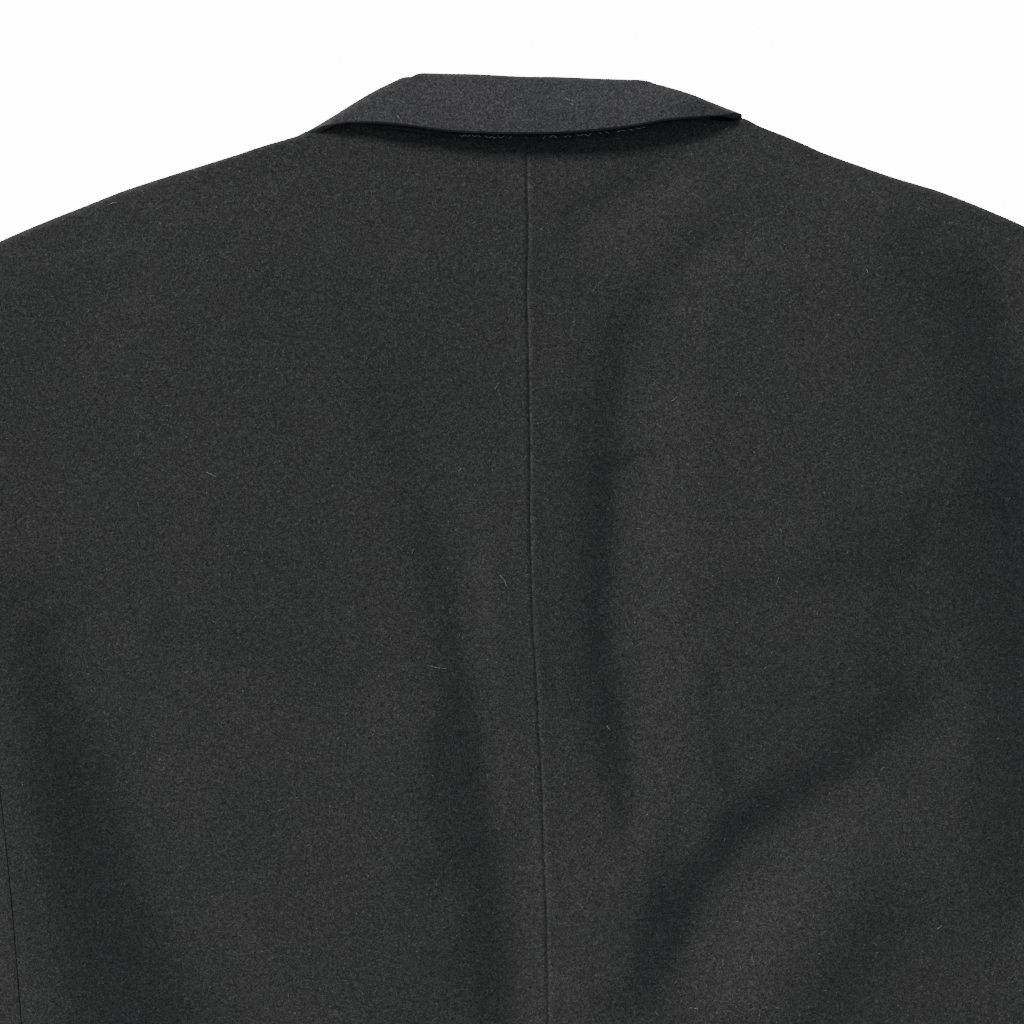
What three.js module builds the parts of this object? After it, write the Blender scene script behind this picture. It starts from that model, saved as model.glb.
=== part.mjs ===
// A tailored jacket of black wool melton, lying face down on a surface, in millimetres.
// +Y points to the neck, +X to the wearer's right and +Z up. The underside rests on z = 0.
// The places in the tables are measured from the nape, where the centre back seam leaves the
// collar: `out` is the distance from the centre back line, `up` the distance towards the neck.
import * as THREE from 'three';

// Cloth and how it lies
const CLOTH = 2.5;
const SEAM_GAP = 0.3;
const HALF_GAP = SEAM_GAP / 2;
const LEAN = 0.0228;
const LOW_HEIGHT = 8.9;
const CHEST_RISE = 1.7;
const CHEST_RISE_UP = { none: -460, full: -340 };
const CHEST_RISE_OUT = { full: 135, none: 200 };
const FOLD_FADE = 30;

// Lengths
const BACK_NECK = 8;
const HEM = -750;
const SHOULDER_POINT = 252;
const NECK_POINT = 80;
const SEAM_TOP = -205;

// Collar
const COLLAR_WALL = 2.6;
const COLLAR_HALF = 3.5;
const COLLAR_LOW = 3.5;
const COLLAR_HIGH = 10.9;
const STAND_LENGTH = 14;
const FALL_STANDS_OFF = 1.6;
const FELT_STANDS_OFF = 0.9;
const FELT = 1.2;
const FELT_SHOWS = 1.4;
const FELT_TOP = 8;

// Lapel and buttons
const LAPEL_LIFT = 3.2;
const LAPEL_BOTTOM = -330;
const LAPEL_TIP = 4;
const COLLAR_FRONT_LIFT = 4.7;
const COLLAR_FRONT = { out: 118, low: -74 };
const LIFT_MARGIN = { full: 14, none: 46 };
const BUTTON_MARGIN = { full: 10, none: 34 };
const BUTTON = { radius: 10, thick: 2.6, hole: 1.1, spread: 1.9, out: 19, ups: [-372, -478] };

// How finely each wall is divided
const FINENESS = {
  roundEdge: 4,
  back: { across: 13, chest: 16, low: 7 },
  front: { across: 11, chest: 15, low: 5 },
  side: { flat: 3, round: 6, down: 14 },
  sleeve: { flat: 5, round: 5, short: 2, down: 16 },
  lapel: { roll: 5, flat: 5, down: 9 },
  felt: 4,
  button: 6,
};
const CHEST_SHARE = 0.55;
const SIDE_FLAT_SHARE = 0.25;
const LAPEL_ROLL_SHARE = 0.3;

const CLOTH_COLOUR = 0x26262a;
const FELT_COLOUR = 0x1c1c20;
const BUTTON_COLOUR = 0x151517;

// The shoulder edge as it lies, a row for each place from the neck to the shoulder point
const SHOULDERS = {
  left: [
    { out: 0, up: 8 }, { out: 66, up: 7 }, { out: 80, up: 7.2 }, { out: 86, up: 5 },
    { out: 92, up: 1.6 }, { out: 96, up: -0.7 }, { out: 98, up: -1 }, { out: 100.4, up: 0 },
    { out: 102.5, up: -0.4 }, { out: 105, up: -0.9 }, { out: 109.5, up: -2.2 },
    { out: 118.4, up: -4.9 }, { out: 127.5, up: -8 }, { out: 145.2, up: -13.8 },
    { out: 181, up: -25.3 }, { out: 216.9, up: -39.1 }, { out: 234.9, up: -46.7 },
    { out: 252, up: -55 },
  ],
  right: [
    { out: 0, up: 8 }, { out: 68, up: 7 }, { out: 80, up: 8.4 }, { out: 88, up: 6.8 },
    { out: 94, up: 4.2 }, { out: 98, up: 3.4 }, { out: 100.6, up: 5 }, { out: 104.1, up: 3.9 },
    { out: 108.4, up: 2.2 }, { out: 112.9, up: 0.4 }, { out: 121.8, up: -3.1 },
    { out: 130.6, up: -7.1 }, { out: 148.1, up: -13.8 }, { out: 165.8, up: -19.6 },
    { out: 183.4, up: -24.9 }, { out: 201, up: -32 }, { out: 218.6, up: -39.6 },
    { out: 252, up: -55 },
  ],
};

// The outer edge of back and front: the armhole above, the side seam below
const PANEL_EDGE = [
  { up: -40, out: 252 }, { up: -56, out: 252 }, { up: -110, out: 246 }, { up: -160, out: 243 },
  { up: -205, out: 245 }, { up: -277, out: 240 }, { up: -330, out: 235 }, { up: -394, out: 231 },
  { up: -440, out: 229 }, { up: -560, out: 234 }, { up: -750, out: 244 },
];

// The fold at the body's side
const SIDE_FOLD = [
  { up: -200, out: 294 }, { up: -262, out: 293 }, { up: -330, out: 289 }, { up: -440, out: 282 },
  { up: -560, out: 288 }, { up: -750, out: 299 },
];

// The armhole seam that the sleeve starts from, from the shoulder point to the underarm
const ARMHOLE = [
  { along: 0, out: 252, up: -56 }, { along: 0.25, out: 246, up: -110 },
  { along: 0.5, out: 243, up: -160 }, { along: 0.7, out: 245, up: -205 },
  { along: 1, out: 293.5, up: -264 },
];

// The sleeve as it lies: its outer and inner fold, a row for each ring from armhole to cuff
const SLEEVE_RINGS = [
  { outerOut: 252, outerUp: -56, innerOut: 293.5, innerUp: -264 },
  { outerOut: 312, outerUp: -80, innerOut: 306, innerUp: -268 },
  { outerOut: 368, outerUp: -108, innerOut: 312, innerUp: -280 },
  { outerOut: 420, outerUp: -146, innerOut: 317, innerUp: -298 },
  { outerOut: 462, outerUp: -196, innerOut: 320, innerUp: -323 },
  { outerOut: 490, outerUp: -256, innerOut: 328, innerUp: -350 },
  { outerOut: 512, outerUp: -322, innerOut: 342, innerUp: -392 },
  { outerOut: 535, outerUp: -395, innerOut: 368, innerUp: -450 },
  { outerOut: 560, outerUp: -477, innerOut: 406, innerUp: -528 },
  { outerOut: 590, outerUp: -572, innerOut: 452, innerUp: -616 },
];
const HINDARM_SEAM = 0.26;
const FOREARM_SEAM = 0.84;
const ARMHOLE_REACH = 0.3;
const SEAM_SHARE = 0.002;

// The lapel's outer edge and the front's inner edge
const LAPEL_EDGE = [
  { up: -80, out: 138 }, { up: -112, out: 148 }, { up: -160, out: 118 }, { up: -220, out: 84 },
  { up: -280, out: 44 }, { up: -330, out: 14 }, { up: -400, out: -50 },
];
const LAPEL_TOP = { inner: -76, outer: -108 };
const ROLL = { topOut: 64, topUp: -72, lowOut: 2, lowUp: -340 };
const FRONT_NECK = [
  { up: -116, out: 57.5 }, { up: -98, out: 72 }, { up: -76, out: 84 }, { up: -30, out: 86 },
  { up: 10, out: 82 },
];

// The collar's stations from the centre back round to the front end. `turn` is where the
// leaf faces, 90 up on the back, 0 outwards at the fold and -90 down on the front.
const COLLAR_STATIONS = {
  left: [
    { rollOut: 0, rollUp: 22.6, edgeOut: 0, edgeUp: 0.4, turn: 90 },
    { rollOut: 19, rollUp: 23.6, edgeOut: 26, edgeUp: 1.2, turn: 90 },
    { rollOut: 36, rollUp: 24, edgeOut: 48, edgeUp: 3.4, turn: 90 },
    { rollOut: 47, rollUp: 24.8, edgeOut: 68, edgeUp: 5.2, turn: 90 },
    { rollOut: 52.5, rollUp: 25, edgeOut: 84.5, edgeUp: 4.4, turn: 90 },
    { rollOut: 53, rollUp: 22.8, edgeOut: 88, edgeUp: 1, turn: 60 },
    { rollOut: 53, rollUp: 20.7, edgeOut: 92, edgeUp: -2.4, turn: 30 },
    { rollOut: 53, rollUp: 19.4, edgeOut: 95, edgeUp: -4.4, turn: 0 },
    { rollOut: 53, rollUp: 19.3, edgeOut: 95.6, edgeUp: -4.6, turn: -30 },
    { rollOut: 54, rollUp: 18.4, edgeOut: 96.5, edgeUp: -7.4, turn: -60 },
    { rollOut: 56, rollUp: 15, edgeOut: 98, edgeUp: -13, turn: -90 },
    { rollOut: 62, rollUp: -4, edgeOut: 104, edgeUp: -26, turn: -90 },
    { rollOut: 65, rollUp: -34, edgeOut: 109, edgeUp: -46, turn: -90 },
    { rollOut: 64, rollUp: -64, edgeOut: 110, edgeUp: -66, turn: -90 },
  ],
  right: [
    { rollOut: 0, rollUp: 22.6, edgeOut: 0, edgeUp: 0.4, turn: 90 },
    { rollOut: 19, rollUp: 22.7, edgeOut: 26, edgeUp: 1.4, turn: 90 },
    { rollOut: 38, rollUp: 21.9, edgeOut: 48, edgeUp: 3.8, turn: 90 },
    { rollOut: 50, rollUp: 22.2, edgeOut: 70, edgeUp: 7.3, turn: 90 },
    { rollOut: 57.2, rollUp: 22.2, edgeOut: 85.5, edgeUp: 8.2, turn: 90 },
    { rollOut: 58, rollUp: 19.3, edgeOut: 89, edgeUp: 5, turn: 60 },
    { rollOut: 57.6, rollUp: 17.2, edgeOut: 92.4, edgeUp: 2.2, turn: 30 },
    { rollOut: 57.6, rollUp: 16.1, edgeOut: 95.5, edgeUp: 0.8, turn: 0 },
    { rollOut: 57.8, rollUp: 15.5, edgeOut: 96, edgeUp: 0.4, turn: -30 },
    { rollOut: 58, rollUp: 14.6, edgeOut: 97, edgeUp: -4.4, turn: -60 },
    { rollOut: 59, rollUp: 12, edgeOut: 99, edgeUp: -12, turn: -90 },
    { rollOut: 63, rollUp: -4, edgeOut: 105, edgeUp: -25, turn: -90 },
    { rollOut: 65, rollUp: -34, edgeOut: 109, edgeUp: -46, turn: -90 },
    { rollOut: 64, rollUp: -64, edgeOut: 110, edgeUp: -66, turn: -90 },
  ],
};

// Folds of the back as it lies: soft troughs, or ridges where the depth is below zero
const BACK_FOLDS = [
  { x1: 47, y1: -92, x2: 44, y2: -150, width: 15, depth: 2.1 },
  { x1: 44, y1: -150, x2: 42, y2: -225, width: 16, depth: 2.2 },
  { x1: 42, y1: -225, x2: 52, y2: -296, width: 15, depth: 2.2 },
  { x1: 72, y1: -150, x2: 66, y2: -290, width: 17, depth: -1.2 },
  { x1: 78, y1: -345, x2: 112, y2: -312, width: 17, depth: 2.4 },
  { x1: 112, y1: -312, x2: 176, y2: -258, width: 18, depth: 2.5 },
  { x1: 96, y1: -372, x2: 152, y2: -322, width: 24, depth: -1.7 },
  { x1: -56, y1: -124, x2: -28, y2: -186, width: 15, depth: 1.3 },
  { x1: -28, y1: -186, x2: -18, y2: -262, width: 14, depth: 1.8 },
  { x1: -18, y1: -262, x2: -2, y2: -390, width: 16, depth: 2 },
  { x1: -62, y1: -250, x2: -52, y2: -370, width: 22, depth: -1.2 },
  { x1: -206, y1: -228, x2: -174, y2: -304, width: 18, depth: 2.7 },
  { x1: -174, y1: -304, x2: -140, y2: -400, width: 28, depth: 3 },
  { x1: -226, y1: -300, x2: -196, y2: -392, width: 20, depth: -1 },
  { x1: 26, y1: -40, x2: 58, y2: -24, width: 11, depth: 1.2 },
  { x1: 42, y1: -74, x2: 72, y2: -52, width: 12, depth: 0.9 },
  { x1: 104, y1: -112, x2: 152, y2: -150, width: 16, depth: 1.3 },
  { x1: -160, y1: -214, x2: -84, y2: -246, width: 18, depth: 1 },
  { x1: 212, y1: -64, x2: 224, y2: -136, width: 16, depth: 1.6 },
  { x1: 224, y1: -136, x2: 228, y2: -300, width: 20, depth: 2.2 },
  { x1: -206, y1: -60, x2: -214, y2: -150, width: 20, depth: 1 },
  { x1: 84, y1: -430, x2: 112, y2: -570, width: 24, depth: 1.8 },
  { x1: -40, y1: -455, x2: -22, y2: -640, width: 22, depth: 1.7 },
  { x1: 196, y1: -430, x2: 150, y2: -640, width: 26, depth: 1.8 },
  { x1: -180, y1: -470, x2: -160, y2: -680, width: 24, depth: 1.8 },
  { x1: 10, y1: -600, x2: 30, y2: -735, width: 24, depth: -1.6 },
  { x1: -120, y1: -520, x2: -112, y2: -720, width: 30, depth: -1.5 },
];

// Folds of the sleeve: x is the share across it and y the share along it, as is the width
const SLEEVE_FOLDS = [
  { x1: 0.35, y1: 0.16, x2: 0.8, y2: 0.3, width: 0.06, depth: 1.8 },
  { x1: 0.2, y1: 0.4, x2: 0.75, y2: 0.48, width: 0.05, depth: 1.6 },
  { x1: 0.3, y1: 0.6, x2: 0.8, y2: 0.56, width: 0.045, depth: 1.8 },
  { x1: 0.3, y1: 0.72, x2: 0.72, y2: 0.8, width: 0.06, depth: 1.2 },
];

const clothMaterial = () => new THREE.MeshStandardMaterial({ color: CLOTH_COLOUR, roughness: 0.95 });
const feltMaterial = () => new THREE.MeshStandardMaterial({ color: FELT_COLOUR, roughness: 1 });
const buttonMaterial = () => new THREE.MeshStandardMaterial({ color: BUTTON_COLOUR, roughness: 0.4 });

const lerp = THREE.MathUtils.lerp;
const smooth = THREE.MathUtils.smoothstep;
const radians = THREE.MathUtils.degToRad;

// Reads a table at one place, straight between its rows
function readRow(table, key, place, column) {
  const first = table[0];
  const last = table[table.length - 1];
  const rising = last[key] > first[key];
  for (let i = 1; i < table.length; i += 1) {
    const below = table[i - 1];
    const above = table[i];
    if (rising ? place <= above[key] : place >= above[key]) {
      const share = Math.max(0, (place - below[key]) / (above[key] - below[key]));
      return lerp(below[column], above[column], share);
    }
  }
  return last[column];
}

// Reads a table whose rows are evenly spaced, on a smooth curve through them
function readSmooth(table, share, column) {
  const spans = table.length - 1;
  const place = Math.min(Math.max(share, 0), 1) * spans;
  const row = Math.min(Math.floor(place), spans - 1);
  const t = place - row;
  const at = (i) => table[Math.min(Math.max(i, 0), spans)][column];
  const [a, b, c, d] = [at(row - 1), at(row), at(row + 1), at(row + 2)];
  return b + 0.5 * t * (c - a + t * (2 * a - 5 * b + 4 * c - d + t * (3 * (b - c) + d - a)));
}

// Even steps from 0 to 1
function steps(count) {
  return Array.from({ length: count + 1 }, (_, i) => i / count);
}

// Steps through several stops, each stretch with its own count
function stepsThrough(stops, counts) {
  const result = [stops[0]];
  counts.forEach((count, i) => {
    steps(count).slice(1).forEach((t) => result.push(lerp(stops[i], stops[i + 1], t)));
  });
  return result;
}

// The place of a point given by its distance from the centre back line
function place(side, out, up, z) {
  const sign = side === 'left' ? -1 : 1;
  return new THREE.Vector3(sign * out - up * LEAN, up, z);
}

// How far one fold lowers the cloth at a point
function foldDepth(fold, x, y) {
  const dx = fold.x2 - fold.x1;
  const dy = fold.y2 - fold.y1;
  const along = ((x - fold.x1) * dx + (y - fold.y1) * dy) / (dx * dx + dy * dy);
  const t = Math.min(Math.max(along, 0), 1);
  const reach = Math.hypot(x - fold.x1 - t * dx, y - fold.y1 - t * dy) / fold.width;
  return fold.depth * Math.exp(-reach * reach);
}

// How far a set of folds lowers the cloth at a point: its deepest trough less its highest ridge
function foldsDrop(folds, x, y) {
  const depths = folds.map((fold) => foldDepth(fold, x, y));
  return Math.max(0, ...depths) + Math.min(0, ...depths);
}

// Height of the whole pile of cloth at the body, more over the lapels and the collar
function pileHeight(out, up) {
  const rise = smooth(up, CHEST_RISE_UP.none, CHEST_RISE_UP.full);
  const reach = 1 - smooth(out, CHEST_RISE_OUT.full, CHEST_RISE_OUT.none);
  return LOW_HEIGHT + CHEST_RISE * rise * reach;
}

// Height of the back's outer face
function backHeight(side, out, up) {
  const height = pileHeight(out, up);
  const point = place(side, out, up, 0);
  const toFold = readRow(SIDE_FOLD, 'up', up, 'out') - LOW_HEIGHT / 2 - out;
  const fade = smooth(toFold, 0, FOLD_FADE) * smooth(BACK_NECK - up, 0, FOLD_FADE);
  return height - foldsDrop(BACK_FOLDS, point.x, point.y) * fade;
}

// A closed wall: the outer points row by row, and the same points moved in along the normal.
// `surface(u, v)` gives an outer point, `facing` is 1 or -1 as its normal points out or in.
function clothWall(name, material, uSteps, vSteps, surface, facing, thickness = CLOTH) {
  const nudge = 1e-4;
  const uHigh = uSteps[uSteps.length - 1];
  const vHigh = vSteps[vSteps.length - 1];
  const normalAt = (u, v) => {
    const u1 = Math.max(u - nudge, uSteps[0]);
    const u2 = Math.min(u + nudge, uHigh);
    const v1 = Math.max(v - nudge, vSteps[0]);
    const v2 = Math.min(v + nudge, vHigh);
    const across = surface(u2, v).sub(surface(u1, v));
    const down = surface(u, v2).sub(surface(u, v1));
    return across.cross(down).normalize().multiplyScalar(facing);
  };
  const outer = [];
  const inner = [];
  for (const v of vSteps) {
    for (const u of uSteps) {
      const point = surface(u, v);
      outer.push(point);
      inner.push(point.clone().addScaledVector(normalAt(u, v), -thickness));
    }
  }
  const columns = uSteps.length;
  const rows = vSteps.length;
  const at = (row, column) => row * columns + column;
  const shift = outer.length;
  const index = [];
  const quad = (a, b, c, d) => index.push(a, b, c, a, c, d);
  for (let row = 0; row < rows - 1; row += 1) {
    for (let column = 0; column < columns - 1; column += 1) {
      const corners = [at(row, column), at(row, column + 1), at(row + 1, column + 1), at(row + 1, column)];
      quad(...corners);
      quad(...corners.map((corner) => corner + shift).reverse());
    }
    quad(at(row, 0), at(row + 1, 0), at(row + 1, 0) + shift, at(row, 0) + shift);
    const end = columns - 1;
    quad(at(row + 1, end), at(row, end), at(row, end) + shift, at(row + 1, end) + shift);
  }
  for (let column = 0; column < columns - 1; column += 1) {
    quad(at(0, column + 1), at(0, column), at(0, column) + shift, at(0, column + 1) + shift);
    const low = rows - 1;
    quad(at(low, column), at(low, column + 1), at(low, column + 1) + shift, at(low, column) + shift);
  }
  if (facing < 0) index.reverse();
  const points = [...outer, ...inner];
  const geometry = new THREE.BufferGeometry().setFromPoints(points);
  geometry.setIndex(index);
  geometry.computeVertexNormals();
  const mesh = new THREE.Mesh(geometry, material);
  mesh.name = name;
  return mesh;
}

// Steps down a panel: a few round the shoulder's edge, then evenly to the hem. A value up to 1
// is a share of the round edge, and the rest runs from 1 at its end to 2 at the hem.
function panelSteps(rows) {
  const chest = steps(rows.chest).slice(1).map((t) => 1 + t * CHEST_SHARE);
  const low = steps(rows.low).slice(1).map((t) => 1 + lerp(CHEST_SHARE, 1, t));
  return [...steps(FINENESS.roundEdge), ...chest, ...low];
}

// Follows a rounded edge of one radius and then the flat beyond it
function roundedEdge(v, radius, flatLength) {
  const angle = (Math.min(v, 1) * Math.PI) / 2;
  const past = Math.max(v - 1, 0) * flatLength;
  return { inwards: radius * (1 - Math.cos(angle)) + past, rise: Math.sin(angle) };
}

// The round edge at the shoulder, where back and front meet above what lies beneath them
function shoulderEdge(side, out, up) {
  const lift = frontLift(side, out, up);
  const radius = (pileHeight(out, up) - lift) / 2;
  return { radius, middle: lift + radius };
}

// One half of the back, from the centre back seam to the armhole and side seam
function backPanel(side) {
  const topUp = (out) => readRow(SHOULDERS[side], 'out', out, 'up');
  const surface = (u, v) => {
    const top = topUp(lerp(HALF_GAP, SHOULDER_POINT, u));
    const { radius, middle } = shoulderEdge(side, lerp(HALF_GAP, SHOULDER_POINT, u), top);
    const edge = roundedEdge(v, radius, top - radius - HEM);
    const up = top - edge.inwards;
    const out = lerp(HALF_GAP, readRow(PANEL_EDGE, 'up', up, 'out') - HALF_GAP, u);
    const atShoulder = smooth(out, NECK_POINT - 2, NECK_POINT + 12);
    const height = backHeight(side, out, up);
    const fallen = (height - middle - HALF_GAP) * (1 - edge.rise) * atShoulder;
    return place(side, out, up, height - fallen);
  };
  const facing = side === 'left' ? 1 : -1;
  const uSteps = steps(FINENESS.back.across);
  return clothWall(`back_${side}`, clothMaterial(), uSteps, panelSteps(FINENESS.back), surface, facing);
}

// The front's inner edge: the neckline, the roll of the lapel, then the centre front
function frontInner(up) {
  const rollOut = rollAt(up) + (CLOTH + LAPEL_LIFT) / 2 + SEAM_GAP;
  if (up > FRONT_NECK[0].up) return readRow(FRONT_NECK, 'up', up, 'out');
  return Math.max(rollOut, SEAM_GAP);
}

// The line on which the lapel rolls
function rollAt(up) {
  const share = (ROLL.topUp - up) / (ROLL.topUp - ROLL.lowUp);
  return lerp(ROLL.topOut, ROLL.lowOut, share);
}

// How far the front is lifted by the lapel, the collar and the buttons that lie beneath it
function frontLift(side, out, up) {
  const past = (distance) => smooth(-distance, -LIFT_MARGIN.none, -LIFT_MARGIN.full);
  const lapel = Math.max(out - readRow(LAPEL_EDGE, 'up', up, 'out'), 0);
  const collar = Math.hypot(Math.max(out - COLLAR_FRONT.out, 0), Math.max(COLLAR_FRONT.low - up, 0));
  const lapelLift = LAPEL_LIFT * past(lapel);
  const collarLift = COLLAR_FRONT_LIFT * past(collar);
  const buttonLift = side === 'right' ? buttonLiftAt(out, up) : 0;
  return Math.max(lapelLift, collarLift, buttonLift);
}

function buttonLiftAt(out, up) {
  const lifts = BUTTON.ups.map((buttonUp) => {
    const distance = Math.hypot(out - BUTTON.out, up - buttonUp) - BUTTON.radius;
    return (BUTTON.thick + 3 * SEAM_GAP) * smooth(-distance, -BUTTON_MARGIN.none, -BUTTON_MARGIN.full);
  });
  return Math.max(...lifts);
}

// One front, lying on the surface under the back, face down
function frontPanel(side) {
  const surface = (u, v) => {
    const guess = lerp(BACK_NECK, PANEL_EDGE[1].up, u);
    const topOut = lerp(frontInner(guess), SHOULDER_POINT, u);
    const top = readRow(SHOULDERS[side], 'out', topOut, 'up');
    const { radius, middle } = shoulderEdge(side, topOut, top);
    const edge = roundedEdge(v, radius, top - radius - HEM);
    const up = top - edge.inwards;
    const out = lerp(frontInner(up), readRow(PANEL_EDGE, 'up', up, 'out') - HALF_GAP, u);
    const lift = frontLift(side, out, up);
    return place(side, out, up, lerp(middle - HALF_GAP, lift, edge.rise));
  };
  const facing = side === 'left' ? -1 : 1;
  const uSteps = steps(FINENESS.front.across);
  return clothWall(`front_${side}`, clothMaterial(), uSteps, panelSteps(FINENESS.front), surface, facing);
}

// A side panel, from the side back seam round the fold to the side front seam
function sidePanel(side) {
  const flat = SIDE_FLAT_SHARE;
  const radius = LOW_HEIGHT / 2;
  const armhole = ARMHOLE.slice(-2);
  const section = (u, up) => {
    const seam = readRow(PANEL_EDGE, 'up', up, 'out') + HALF_GAP;
    const fold = readRow(SIDE_FOLD, 'up', up, 'out') - radius;
    if (u < flat) {
      const out = lerp(seam, fold, u / flat);
      return { out, z: backHeight(side, out, up) };
    }
    if (u > 1 - flat) return { out: lerp(seam, fold, (1 - u) / flat), z: 0 };
    const angle = Math.PI * (0.5 - (u - flat) / (1 - 2 * flat));
    return { out: fold + radius * Math.cos(angle), z: radius + radius * Math.sin(angle) };
  };
  const topOf = (u) => {
    const guess = readRow(armhole, 'out', section(u, SEAM_TOP).out, 'up');
    return readRow(armhole, 'out', section(u, guess).out, 'up') - SEAM_GAP;
  };
  const surface = (u, v) => {
    const up = lerp(topOf(u), HEM, v);
    const { out, z } = section(u, up);
    return place(side, out, up, z);
  };
  const { flat: flatCount, round, down } = FINENESS.side;
  const uSteps = stepsThrough([0, flat, 1 - flat, 1], [flatCount, round, flatCount]);
  const facing = side === 'left' ? 1 : -1;
  return clothWall(`side_${side}`, clothMaterial(), uSteps, steps(down), surface, facing);
}

// A point on the sleeve's section. `q` runs from 0 to 1 across the top from the outer to the
// inner fold, to 2 round the inner fold, to 3 back across the underside and to 4 round the outer.
function sleevePoint(side, q, along) {
  const read = (column) => readSmooth(SLEEVE_RINGS, along, column);
  const outer = new THREE.Vector2(read('outerOut'), read('outerUp'));
  const inner = new THREE.Vector2(read('innerOut'), read('innerUp'));
  const radius = LOW_HEIGHT / 2;
  const width = outer.distanceTo(inner);
  const turn = q - Math.floor(q);
  const part = Math.floor(q) % 4;
  const flatWidth = width - 2 * radius;
  const sections = [
    () => ({ across: radius + turn * flatWidth, z: 2 * radius }),
    () => ({
      across: width - radius + radius * Math.sin(turn * Math.PI),
      z: radius + radius * Math.cos(turn * Math.PI),
    }),
    () => ({ across: width - radius - turn * flatWidth, z: 0 }),
    () => ({
      across: radius - radius * Math.sin(turn * Math.PI),
      z: radius - radius * Math.cos(turn * Math.PI),
    }),
  ];
  const { across, z } = sections[part]();
  const share = across / width;
  const straight = outer.clone().lerp(inner, share);
  const armhole = new THREE.Vector2(
    readRow(ARMHOLE, 'along', share, 'out'),
    readRow(ARMHOLE, 'along', share, 'up'),
  );
  const first = SLEEVE_RINGS[0];
  const chord = new THREE.Vector2(
    lerp(first.outerOut, first.innerOut, share),
    lerp(first.outerUp, first.innerUp, share),
  );
  const bulge = armhole.sub(chord).multiplyScalar(1 - smooth(along, 0, ARMHOLE_REACH));
  const fade = smooth(Math.min(across, width - across), radius, FOLD_FADE + radius);
  const onTop = part === 0 ? fade : 0;
  const drop = foldsDrop(SLEEVE_FOLDS, share, along) * onTop;
  return place(side, straight.x + bulge.x + SEAM_GAP, straight.y + bulge.y, z - drop);
}

// The two-piece sleeve: the top sleeve round the outer fold, the under sleeve round the inner
function sleevePanel(side, piece) {
  const { flat, round, short, down } = FINENESS.sleeve;
  const forearm = 3 - FOREARM_SEAM;
  const pieces = {
    under: {
      stops: [HINDARM_SEAM + SEAM_SHARE, 1, 2, forearm - SEAM_SHARE],
      counts: [flat, round, 1],
    },
    top: {
      stops: [forearm + SEAM_SHARE, 3, 4, 4 + HINDARM_SEAM - SEAM_SHARE],
      counts: [flat, round, short],
    },
  };
  const uSteps = stepsThrough(pieces[piece].stops, pieces[piece].counts);
  const surface = (u, v) => sleevePoint(side, u, v);
  const facing = side === 'left' ? -1 : 1;
  return clothWall(`${piece}sleeve_${side}`, clothMaterial(), uSteps, steps(down), surface, facing);
}

// A lapel: the front's edge turned under on the roll and lying on the surface
function lapel(side) {
  const radius = (CLOTH + LAPEL_LIFT) / 2;
  const roll = LAPEL_ROLL_SHARE;
  const surface = (u, v) => {
    const across = Math.max((u - roll) / (1 - roll), 0);
    const up = lerp(lerp(LAPEL_TOP.inner, LAPEL_TOP.outer, across), LAPEL_BOTTOM, v);
    const inner = rollAt(up) + radius;
    if (u < roll) {
      const angle = (u / roll) * Math.PI;
      return place(side, inner - radius * Math.sin(angle), up, radius + radius * Math.cos(angle));
    }
    const outer = Math.max(readRow(LAPEL_EDGE, 'up', up, 'out'), inner + LAPEL_TIP);
    return place(side, lerp(inner, outer, across), up, 0);
  };
  const { roll: rollCount, flat, down } = FINENESS.lapel;
  const uSteps = stepsThrough([0, roll, 1], [rollCount, flat]);
  const facing = side === 'left' ? -1 : 1;
  return clothWall(`lapel_${side}`, clothMaterial(), uSteps, steps(down), surface, facing);
}

// Every station of the collar from the left front end round the back to the right front end
function collarStations() {
  const mark = (side) => (row) => ({ ...row, side });
  const left = COLLAR_STATIONS.left.slice(1).reverse().map(mark('left'));
  return [...left, ...COLLAR_STATIONS.right.map(mark('right'))];
}

// A point of the collar. `along` counts stations, `down` is the distance from the roll towards
// the edge in millimetres, and `height` is how far the point lies outside the collar's middle.
function collarPoint(stations, along, down, height, standOff) {
  const last = stations.length - 1;
  const row = Math.min(Math.floor(along), last - 1);
  const share = along - row;
  const at = (i, column) => {
    const station = stations[Math.min(Math.max(i, 0), last)];
    const sign = station.side === 'left' ? -1 : 1;
    return column.endsWith('Out') ? sign * station[column] : station[column];
  };
  const read = (column) => lerp(at(row, column), at(row + 1, column), share);
  const rollPoint = new THREE.Vector3(read('rollOut'), read('rollUp'), 0);
  const edgePoint = new THREE.Vector3(read('edgeOut'), read('edgeUp'), 0);
  const fall = edgePoint.clone().sub(rollPoint).normalize();
  const sideways = new THREE.Vector3(-fall.y, fall.x, 0);
  if (sideways.y < 0) sideways.negate();
  const onFront = Math.abs(read('turn')) < 90 || read('turn') < 0;
  if (onFront && sideways.x * read('rollOut') < 0) sideways.negate();
  const turn = radians(read('turn'));
  const out = sideways.multiplyScalar(Math.cos(turn)).add(new THREE.Vector3(0, 0, Math.sin(turn)));
  const middle = (COLLAR_HIGH + COLLAR_LOW) / 2;
  const ring = (COLLAR_HIGH - COLLAR_LOW) / 2;
  const length = rollPoint.distanceTo(edgePoint);
  const lifted = standOff * smooth(down, 0, length) * Math.max(Math.sin(turn), 0);
  const point = rollPoint.addScaledVector(fall, down);
  point.addScaledVector(out, ring + height + lifted);
  point.z += middle;
  return point;
}

function fallLength(stations, along) {
  const row = Math.min(Math.floor(along), stations.length - 2);
  const lengths = [stations[row], stations[row + 1]].map((s) => (
    Math.hypot(s.edgeOut - s.rollOut, s.edgeUp - s.rollUp)
  ));
  return lerp(lengths[0], lengths[1], along - row);
}

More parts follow.
